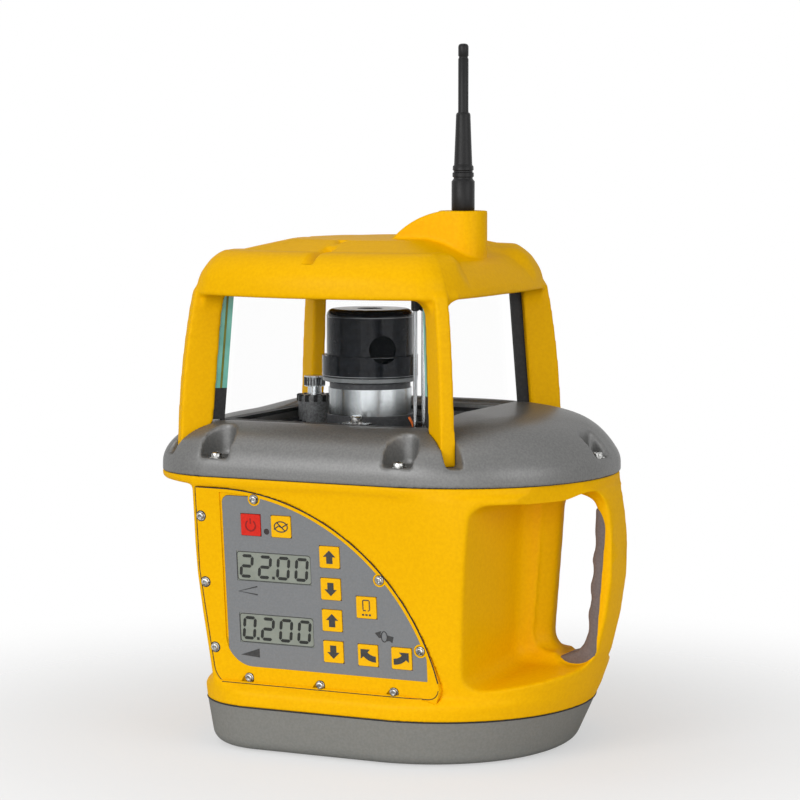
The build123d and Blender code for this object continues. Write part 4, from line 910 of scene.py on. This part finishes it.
def on_face(points):
    """Place function on the outer face of a solid given by its corner points."""
    along, rise, out = (np.asarray(points) @ np.array(axis) for axis in (right, up, outward))
    origin = (right * float(along.min() + along.max()) / 2 + up * float(rise.min() + rise.max()) / 2
              + outward * float(out.max()))
    return lambda x, y, z: origin + (right * x + up * y + outward * z) * MM


def face_of(node):
    return on_face([vert.co[:] for vert in nodes[node].data.vertices])


def printed(name, outlines, place, body, finish, slot="seal_rubber"):
    """Thin raised print made of flat outlines in mm."""
    form = bmesh.new()
    for outline in outlines:
        prism(form, outline, place, 0.0, print_height)
    built(name, form, body, slot, finish=finish)


def stroke(points, width):
    """Outline of a line of even width along a row of points."""
    left, right_side = [], []
    for point, way in zip(points, ways(points)):
        offset = Vector((-way.y, way.x)) * width / 2
        left.append(tuple(Vector(point) + offset))
        right_side.append(tuple(Vector(point) - offset))
    return left + right_side[::-1]


def arc(centre, radii, start, end, count=16):
    """Points of an elliptical arc between two angles in degrees."""
    angles = [math.radians(a) for a in np.linspace(start, end, count)]
    return [(centre[0] + radii[0] * math.cos(a), centre[1] + radii[1] * math.sin(a)) for a in angles]


def ring(centre, radii, width):
    """Closed elliptical line as two half outlines."""
    return [stroke(arc(centre, radii, start, start + 180), width) for start in (0, 180)]


def block_arrow(way):
    """Straight block arrow, up for way 1 and down for way -1."""
    half, neck, tip, tail = 3.6, 1.8, 3.7, -3.5
    outline = [(-neck, tail), (neck, tail), (neck, 0.2), (half, 0.2), (0, tip), (-half, 0.2), (-neck, 0.2)]
    return [[(x, way * y) for x, y in outline]]


def bent_arrow(way):
    """Curved block arrow that points up and to the left for way 1, to the right for way -1."""
    outline = [(-4.2, 3.3), (1.3, 3.3), (-0.2, 1.7), (1.0, 0.7), (2.6, 0.0), (4.6, -0.3), (4.6, -3.5),
               (2.4, -3.3), (0.2, -2.6), (-1.5, -1.6), (-2.6, -0.6), (-4.2, -1.9)]
    return [[(way * x, y) for x, y in outline]]


def power_symbol():
    return [stroke(arc((0, -0.3), (2.9, 2.9), 125, 415, 28), 0.8), stroke([(0, 0.6), (0, 3.6)], 0.8)]


def sweep_symbol():
    lines = [stroke([(-4.2, -1.6), (-1.4, 0.4), (0.4, -0.4), (4.2, 1.9)], 0.6),
             stroke([(-2.4, 2.3), (2.6, -2.3)], 0.6)]
    return ring((0, 0), (3.9, 2.8), 0.6) + lines


def mode_symbol():
    frame_line = [(-1.9, -1.2), (-1.9, 3.6), (-1.5, 4.0), (1.5, 4.0), (1.9, 3.6), (1.9, -1.2), (0.9, -1.8)]
    feet = [stroke([(x, -3.9), (x + 1.2, -3.9)], 0.9) for x in (-2.6, -0.6, 1.4)]
    return [stroke(frame_line, 0.55), stroke([(-1.9, -1.6), (-0.3, -1.6)], 0.55)] + feet


def turning_symbol():
    left_wedge = [(-5.4, 1.7), (-1.6, 3.0), (-2.2, 1.2), (-1.4, -0.6), (-3.0, -0.9)]
    right_wedge = [(1.6, 1.0), (5.4, 0.2), (4.6, -3.0), (2.9, -2.0), (1.4, -2.4), (2.0, -0.6)]
    return [left_wedge, right_wedge] + ring((0, 0), (1.7, 2.8), 0.5)


def outer_loop(mesh, direction, least=0.9):
    """Longest edge loop round the faces of a mesh that look in a direction, in metres."""
    form = merged(mesh)
    form.normal_update()
    links = {}
    for edge in form.edges:
        looks = [face.normal.dot(direction) > least for face in edge.link_faces]
        if len(looks) == 2 and looks[0] != looks[1]:
            for vert in edge.verts:
                links.setdefault(vert, []).append(edge.other_vert(vert))
    loops, used = [], set()
    for start in links:
        loop, vert = [], start
        while vert and vert not in used:
            used.add(vert)
            loop.append(vert.co.copy())
            vert = next((other for other in links[vert] if other not in used), None)
        if loop:
            loops.append(loop)
    form.free()
    return max(loops, key=lambda loop: max(np.ptp(np.array(loop), axis=0)))


def dark_edge_line(name, mesh, direction, radius=seam_radius, share=0):
    """Thin dark line along the outer edge of a mesh's face, drawn in to its middle by a share: the seams, and
    a painted shadow along the film's edge.
    """
    loop = outer_loop(mesh, direction)
    middle = sum(loop, Vector()) / len(loop)
    sink = direction * seam_sink * MM
    points = [tuple((middle + (point - middle) * (1 - share) - sink) / MM) for point in loop]
    form = bmesh.new()
    tube(form, points + points[:1], radius, seam_sides)
    built(name, form, "housing", "seal_rubber")


def foot_line(tree):
    """The seam along the panel's foot with its round corner, on the front found by a search tree."""
    start, end = foot_seam_ends
    centre = (end, foot_seam_z + foot_seam_corner)
    row = [(x, foot_seam_z) for x in np.linspace(start, end, 40)]
    corner = arc(centre, (foot_seam_corner, foot_seam_corner), -90, -8, 8)
    line = []
    for x, z in row + corner[1:]:
        hit = tree.ray_cast(Vector((x * MM, cad_box[0].y - MM, z * MM)), Vector((0, 1, 0)))[0]
        line.append(tuple(hit / MM))
    return line


def panel_seam(shell, plate):
    """The panel's seam: its CAD edge down to the foot, then along the foot with a round corner."""
    foot = foot_line(search_tree((shell.data, plate.data)))
    loop = outer_loop(nodes["control_panel"].data, outward)
    edge = [tuple(point / MM - outward * seam_sink) for point in loop]
    cut = max(range(len(edge)), key=lambda index: edge[index][2] < foot[-1][2] and edge[index][0])
    edge = edge[cut:] + edge[:cut]
    kept = [point for point in edge if point[2] > foot[-1][2] or point[0] < foot_seam_ends[0]]
    form = bmesh.new()
    tube(form, kept, seam_radius, seam_sides)
    tube(form, foot, foot_seam_radius, seam_sides)
    built("panel_seam", form, "housing", "seal_rubber")


def egg(form, place, halves, tilt):
    """Closed ellipsoid at a place, turned in the panel's plane."""
    def spot(x, y, z):
        x, y = x * halves[0], y * halves[1]
        return place(x * math.cos(tilt) - y * math.sin(tilt), x * math.sin(tilt) + y * math.cos(tilt),
                     z * halves[2])

    lifts = np.linspace(-egg_end, egg_end, 24)
    turn(form, [(math.cos(lift), math.sin(lift)) for lift in lifts], spot)


def panel_plate():
    """The panel with a slanted hollow beside each of its three foot screws."""
    form = bmesh.new()
    heads = sorted(islands("panel_screws"), key=lambda points: points[:, 2].mean())[:3]
    for points in heads:
        egg(form, moved(on_face(points), *hollow_shift), hollow_halves, hollow_tilt)
    plate = trimmed("control_panel", form, "DIFFERENCE")
    plate.shade_smooth()
    plate.set_sharp_from_angle(angle=plate_sharp)
    return piece("panel_plate", plate, "housing", "yellow_plastic", ["control_panel"])


def keypad_film():
    """The grey film with its left and upper edges drawn in and the corner between them rounded."""
    corners = np.array([vert.co[:] for vert in nodes["keypad_overlay"].data.vertices])
    wide, tall = (np.ptp(corners @ np.array(axis) / MM) / 2 for axis in (right, up))
    left, top = film_inset[0] - wide, tall - film_inset[1]
    end, foot = wide + film_room, -tall - film_room
    centre = (left + film_corner, top - film_corner)
    outline = [(left, foot), (end, foot), (end, top)] + arc(centre, (film_corner, film_corner), 90, 180, 9)
    form = bmesh.new()
    prism(form, outline, face_of("keypad_overlay"), -film_depth, film_room)
    cut = trimmed("keypad_overlay", form, "INTERSECT")
    cut.shade_flat()
    piece("keypad_film", cut, "housing", "overlay_grey", ["keypad_overlay"])
    # Painted shadow: a thin dark line along the film's edge
    dark_edge_line("overlay_shadow_line", cut, outward, film_shadow_radius)


def seam_lines():
    dark_edge_line("base_seam", nodes["base_cover"].data, Vector((0, 0, 1)))
    dark_edge_line("cover_seam", nodes["upper_cover"].data, Vector((0, 0, -1)), share=cover_seam_share)


def key_prints():
    shapes = {
        "key_power": power_symbol(), "key_manual": sweep_symbol(), "key_mode": mode_symbol(),
        "key_up_upper": block_arrow(1), "key_down_upper": block_arrow(-1),
        "key_up_lower": block_arrow(1), "key_down_lower": block_arrow(-1),
        "key_turn_left": bent_arrow(1), "key_turn_right": bent_arrow(-1),
    }
    for key, outlines in shapes.items():
        finish = "print_red" if key == "key_power" else "print_dark"
        printed(key + "_print", outlines, face_of(key), key, finish)


def segment_outline(name):
    """One bar of a digit as a long hexagon, before the slant."""
    thick = digit_stroke / 2
    start, end = (Vector((x * digit_width / 2, y * digit_height / 2)) for x, y in segment_ends[name])
    way = (end - start).normalized()
    side = Vector((-way.y, way.x)) * thick
    start, end = start + way * digit_gap, end - way * digit_gap
    return [start, start + way * thick - side, end - way * thick - side, end,
            end - way * thick + side, start + way * thick + side]


def digits(text):
    """Outlines of a four-figure reading; a point follows the figure before it."""
    outlines, column = [], -1.5 * digit_pitch
    lean = math.tan(digit_slant)
    low, half = -digit_height / 2, point_size / 2
    for character in text:
        if character == ".":
            middle = column - digit_pitch / 2 + low * lean
            outlines.append([(middle - half, low - half), (middle + half, low - half),
                             (middle + half, low + half), (middle - half, low + half)])
            continue
        for name in segments_of[character]:
            outlines.append([(column + x + y * lean, y) for x, y in segment_outline(name)])
        column += digit_pitch
    return outlines


def rounded_frame(width, height, corner, line):
    """Thin rectangular line with rounded corners, in two halves."""
    points = []
    for (x, y), start in (((1, 1), 0), ((-1, 1), 90), ((-1, -1), 180), ((1, -1), 270)):
        centre = (x * (width / 2 - corner), y * (height / 2 - corner))
        points += arc(centre, (corner, corner), start, start + 90, 5)
    half = len(points) // 2
    return [stroke(points[:half + 1], line), stroke(points[half:] + points[:1], line)]


def display_prints():
    for node, reading in readings.items():
        low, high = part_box(node)
        size = (high - low) / MM
        place = face_of(node)
        printed(node + "_digits", digits(reading), place, "housing", "segment", "display")
        margin_x, margin_z = display_margin
        # Painted shade: a thin dark frame inside the display's edge for the shade of its sunken bezel
        frame_line = rounded_frame(size.x - margin_x, size.z - margin_z, display_corner, display_shade_line)
        printed(node + "_frame", frame_line, place, "housing", "print_dark", "display")


def overlay_prints():
    """Signs on the grey film: a slope line, a slope wedge and the turning sign, each beside a CAD node."""
    place = face_of("keypad_overlay")
    slope = [stroke([(5.8, 2.6), (-5.6, -0.6), (5.8, -1.9)], 0.7)]
    wedge = [[(-5.8, -1.5), (5.6, -2.3), (5.6, 2.6)]]
    signs = []
    for outlines, node, (x, y) in (
            (slope, "display_upper", slope_shift), (wedge, "display_lower", wedge_shift),
            (turning_symbol(), "key_turn_left", turning_shift)):
        centre = sum(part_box(node), Vector()) / 2 - place(0, 0, 0)
        x, y = x + centre.dot(right) / MM, y + centre.dot(up) / MM
        signs += [[(x + across, y + rise) for across, rise in outline] for outline in outlines]
    printed("overlay_signs", signs, place, "housing", "print_dark")


def screw_head(form, place, radius, height, dome):
    """Round screw head with a hexagon socket; dome is the share of height that is rounded."""
    def hexagon(a):
        return socket_share / math.cos(a % (math.pi / 3) - math.pi / 6)

    edge = [(1, 0), (1, 1 - dome), (0.93, 1 - dome * 0.4), (0.74, 0.97), (0.62, 1)]
    shapes = [(lambda a, share=share: share, level) for share, level in edge]
    shapes += [(hexagon, 1), (hexagon, 1 - socket_depth)]
    loft(form, [
        [place(radius * reach(a) * math.cos(a), radius * reach(a) * math.sin(a), height * level)
         for a in circle(head_sides)]
        for reach, level in shapes])


def panel_screws():
    form = bmesh.new()
    for points in islands("panel_screws"):
        place = on_face(points)
        turn(form, panel_washer, place, head_sides)
        screw_head(form, moved(place, 0, 0, panel_head_lift), *panel_head)
    built("panel_screw_heads", form, "housing", "screw_steel", ["panel_screws"])


def cover_screws():
    form = bmesh.new()
    for points in islands("cover_screws"):
        low, high = points.min(0) / MM, points.max(0) / MM
        place = moved(upright((low[0] + high[0]) / 2, (low[1] + high[1]) / 2), 0, 0, high[2])
        turn(form, [(cover_shank, low[2] - high[2]), (cover_shank, cover_washer[0][1])], place, slim_sides)
        turn(form, cover_washer, place, head_sides)
        screw_head(form, moved(place, 0, 0, -cover_head[1]), *cover_head)
    built("cover_screw_heads", form, "housing", "screw_steel", ["cover_screws"])


# The head: rotor, adjuster, rods and trim under the roof

def rotor_trim():
    """Top disc, painted highlight lines along the rotor's edges and the grey plate of the spinning head."""
    low, high = box_mm("rotor_cap")
    base_low, base_high = box_mm("rotor_base")
    radius, outer = (high.x - low.x) / 2, (base_high.x - base_low.x) / 2
    place = standing("rotor_cap")
    form = bmesh.new()
    turn(form, set_to(disc_profile, 0, high.z), place)
    built("rotor_disc", form, "rotor", "rotor_black", finish="seal_rubber")
    form = bmesh.new()
    # Painted highlight lines at the cap's top, the skirt's foot and the base
    cap_line = (radius, high.z - cap_line_drop)
    skirt_line = (outer - skirt_line_inset, low.z - skirt_line_drop)
    base_line = (outer, base_low.z + base_line_lift)
    for line in (cap_line, skirt_line, base_line):
        turn(form, set_to(highlight_line_profile, *line), place, rotor_sides)
    built("rotor_highlight_lines", form, "rotor", "rotor_black", finish="rotor_painted_highlight")
    form = bmesh.new()
    turn(form, set_to(plate_profile, outer, base_low.z), place, rotor_sides)
    built("rotor_plate", form, "rotor", "turned_steel", finish="plate_grey")


def drum_trim():
    """Dark band round the foot of the spindle drum, and a dark ring between drum and rotor."""
    low = top_of("spindle_housing") - ring_sink
    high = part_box("rotor_base")[0].z / MM - ring_gap
    inner, outer = (drum_radius - inset for inset in ring_inset)
    band = set_to(drum_band, drum_radius, deck_top)
    form = bmesh.new()
    for profile in (band, [(inner, low), (outer, low), (outer, high), (inner, high)]):
        turn(form, profile, upright(0, 0), rotor_sides, True)
    built("drum_trim", form, "spindle", "motor_black", finish="deck_dark")


def around(count, place):
    """Place functions turned step by step about an upright axis."""
    for angle in circle(count):
        yield lambda out, side, level, a=angle: place(
            out * math.cos(a) - side * math.sin(a), out * math.sin(a) + side * math.cos(a), level)


def toothed(name, node, count, corners, body, slot, finish):
    """Row of small blocks round the upper edge of a CAD node of the adjuster."""
    low, high = box_mm(node)
    edge = Vector(((high.x - low.x) / 2, 0, high.z))
    form = bmesh.new()
    for place in around(count, standing("adjuster_post")):
        block(form, edge + Vector(corners[0]), edge + Vector(corners[1]), place)
    built(name, form, body, slot, finish=finish)


def adjuster_trim():
    """Small teeth round the adjuster's collar, and dark ribs round its knob painted as the shade in its
    knurl.
    """
    toothed("collar_teeth", "adjuster_post", tooth_count, tooth_box, "housing", "motor_black", "seal_rubber")
    toothed("knob_rib_shade", "adjuster_knob", rib_count, rib_box, "adjuster", "turned_steel", "deck_dark")


def rods():
    """Two slim bright rods between the deck and the roof, with dark sleeves on top."""
    steel, sleeve = bmesh.new(), bmesh.new()
    for spot in rod_places:
        turn(steel, set_to(rod_foot, 0, deck_top) + [(rod_radius, glass_top)], upright(*spot), slim_sides)
        turn(sleeve, set_to(sleeve_profile, 0, glass_top), upright(*spot), slim_sides)
    built("rods", steel, "housing", "turned_steel", finish="rod_steel")
    built("rod_sleeves", sleeve, "housing", "seal_rubber")


def wire():
    """Short insulated wire from the deck up toward the rods' sleeves."""
    path = []
    for share in np.linspace(0, 1, 14):
        x = wire_place[0] + wire_sway[0] * math.sin(share * wire_turns[0])
        y = wire_place[1] + wire_sway[1] * math.cos(share * wire_turns[1])
        path.append((x, y, deck_top + wire_rise * share))
    form = bmesh.new()
    tube(form, path, wire_radius, wire_sides)
    built("rod_wire", form, "housing", "grip_rubber", finish="wire_orange")


def deck_trim():
    """Stepped dark frames on the deck inside the windows, and a small clamp with its screw."""
    low, high = box_mm("deck_plate")
    place = moved(standing("deck_plate"), 0, 0, deck_top)
    form = bmesh.new()
    for inset, width, rise in deck_frames:
        wide, deep = (high.x - low.x) / 2 - inset, (high.y - low.y) / 2 - inset
        for sign in (-1, 1):
            near, far = sorted((sign * deep, sign * (deep - width)))
            block(form, (-wide, near, 0), (wide, far, rise), place)
            near, far = sorted((sign * wide, sign * (wide - width)))
            block(form, (near, width - deep, 0), (far, deep - width, rise), place)
    built("deck_steps", form, "housing", "deck_dark")
    form = bmesh.new()
    block(form, *clamp_box, moved(upright(0, 0), 0, 0, deck_top))
    turn(form, set_to(clamp_screw, 0, deck_top), upright(*clamp_place), slim_sides)
    built("deck_clamp", form, "housing", "turned_steel", finish="screw_steel")


def post_part(form, angle, low, high, half, inner=0, outer=1):
    """Slice of a corner post between two heights, over a share of its depth along the fin."""
    place = fin_place(angle)
    rows = []
    for level in (low, high):
        share = (level - glass_foot) / (glass_head - glass_foot)
        near, far = (a + (b - a) * share for a, b in zip(post_low, post_high))
        start, end = near + (far - near) * inner, near + (far - near) * outer
        corners = [(start, -half), (end, -half), (end, half), (start, half)]
        rows.append([place(reach, across, level) for reach, across in corners])
    loft(form, rows)


def window_posts():
    """Stacked glass edges in rubber feet at the front corners, each with an olive line painted on it as a
    reflection of the yellow fins, and a rubber strip at the rear right one.
    """
    low, high = glass_foot, glass_top
    glass, line, rubber = bmesh.new(), bmesh.new(), bmesh.new()
    for angle in fin_angles:
        if math.sin(angle) < 0:
            post_part(rubber, angle, low, low + post_foot, post_half)
            post_part(glass, angle, low + post_foot, high, post_half)
            # Olive line painted on the glass edge as a reflection
            post_part(line, angle, low + post_foot, high, post_line_half, *post_line)
        elif math.cos(angle) > 0:
            post_part(rubber, angle, low, high, strip_half)
    built("window_posts", glass, "housing", "window_glass", finish="glass_edge")
    built("window_post_reflections", line, "housing", "seal_rubber", finish="glass_reflection_line")
    built("window_post_feet", rubber, "housing", "seal_rubber")


def antenna():
    """Whip aerial: foot, two collars, tapering sleeve and a slim whip with a grooved tip."""
    foot, tip = top_of("antenna_socket"), top_of("antenna")
    profile = set_to(antenna_foot, 0, foot) + set_to(antenna_tip, 0, tip)
    form = bmesh.new()
    turn(form, profile, standing("antenna"), antenna_sides)
    mesh = to_mesh(form, "antenna_whip", antenna_sharp)
    piece("antenna_whip", mesh, "housing", "antenna_black", ["antenna"])


# Camera, light and floor

def add_camera():
    data = bpy.data.cameras.new("camera")
    data.lens = camera_lens
    data.sensor_width = camera_sensor
    scene.camera = added("camera", data)
    scene.camera.location = camera_place
    scene.camera.rotation_euler = (camera_tilt, 0, camera_turn)


def add_lamp(name, place, size, power):
    data = bpy.data.lights.new(name, "AREA")
    data.size = size
    data.energy = power
    lamp = added(name, data)
    lamp.location = place
    lamp.rotation_euler = (lamp_aim - lamp.location).to_track_quat("-Z", "Y").to_euler()


def mixed(tree, factor, first, second):
    """Output of a blend of two shaders by a factor."""
    return wired(tree, "MixShader", inputs={0: factor, 1: first, 2: second})


def add_world():
    """White where it is seen directly, mirrored or through glass; softer as a light."""
    scene.world = bpy.data.worlds.new("studio")
    scene.world.use_nodes = True
    tree = scene.world.node_tree
    soft, white = (
        wired(tree, "Background", inputs={"Color": (1, 1, 1, 1), "Strength": strength})
        for strength in (world_light, 1))
    path = tree.nodes.new("ShaderNodeLightPath").outputs
    seen = path["Is Camera Ray"]
    for kind in ("Is Glossy Ray", "Is Transmission Ray"):
        seen = wired(tree, "Math", inputs={0: seen, 1: path[kind]}, operation="MAXIMUM")
    feed(tree, tree.nodes["World Output"], {"Surface": mixed(tree, seen, soft, white)})


def floor_material():
    """Pale surface that fades into the white background away from the object."""
    shader = Shader("floor")
    tree = shader.tree
    shader.colour(shader.noise(floor_clouds), *floor_tones)
    shader.set(Roughness=0.9, Specular_IOR_Level=0.1)
    distance = wired(tree, "VectorMath", "Value", {0: shader.place}, operation="LENGTH")
    fade = shader.ranged(distance, floor_fade, 0, 1, interpolation_type="SMOOTHSTEP")
    direct = wired(tree, "LightPath", "Is Camera Ray")
    seen = wired(tree, "Math", inputs={0: direct, 1: floor_glow}, operation="MULTIPLY")
    surface = tree.nodes["Principled BSDF"].outputs[0]
    pale = mixed(tree, seen, surface, wired(tree, "Emission"))
    both = mixed(tree, fade, pale, wired(tree, "BsdfTransparent"))
    feed(tree, tree.nodes["Material Output"], {"Surface": both})
    return shader.material


def add_floor():
    form = bmesh.new()
    bmesh.ops.create_circle(form, cap_ends=True, segments=floor_sides, radius=floor_radius)
    mesh = bpy.data.meshes.new("floor")
    form.to_mesh(mesh)
    form.free()
    mesh.materials.append(floor_material())
    floor = added("floor", mesh)
    floor.location = floor_place


dress_cad()
housing = make_shells()
panel_seam(housing, panel_plate())
keypad_film()
seam_lines()
key_prints()
display_prints()
overlay_prints()
panel_screws()
cover_screws()
rotor_trim()
drum_trim()
adjuster_trim()
rods()
wire()
deck_trim()
window_posts()
antenna()
add_camera()
for lamp in lamps:
    add_lamp(*lamp)
add_world()
add_floor()
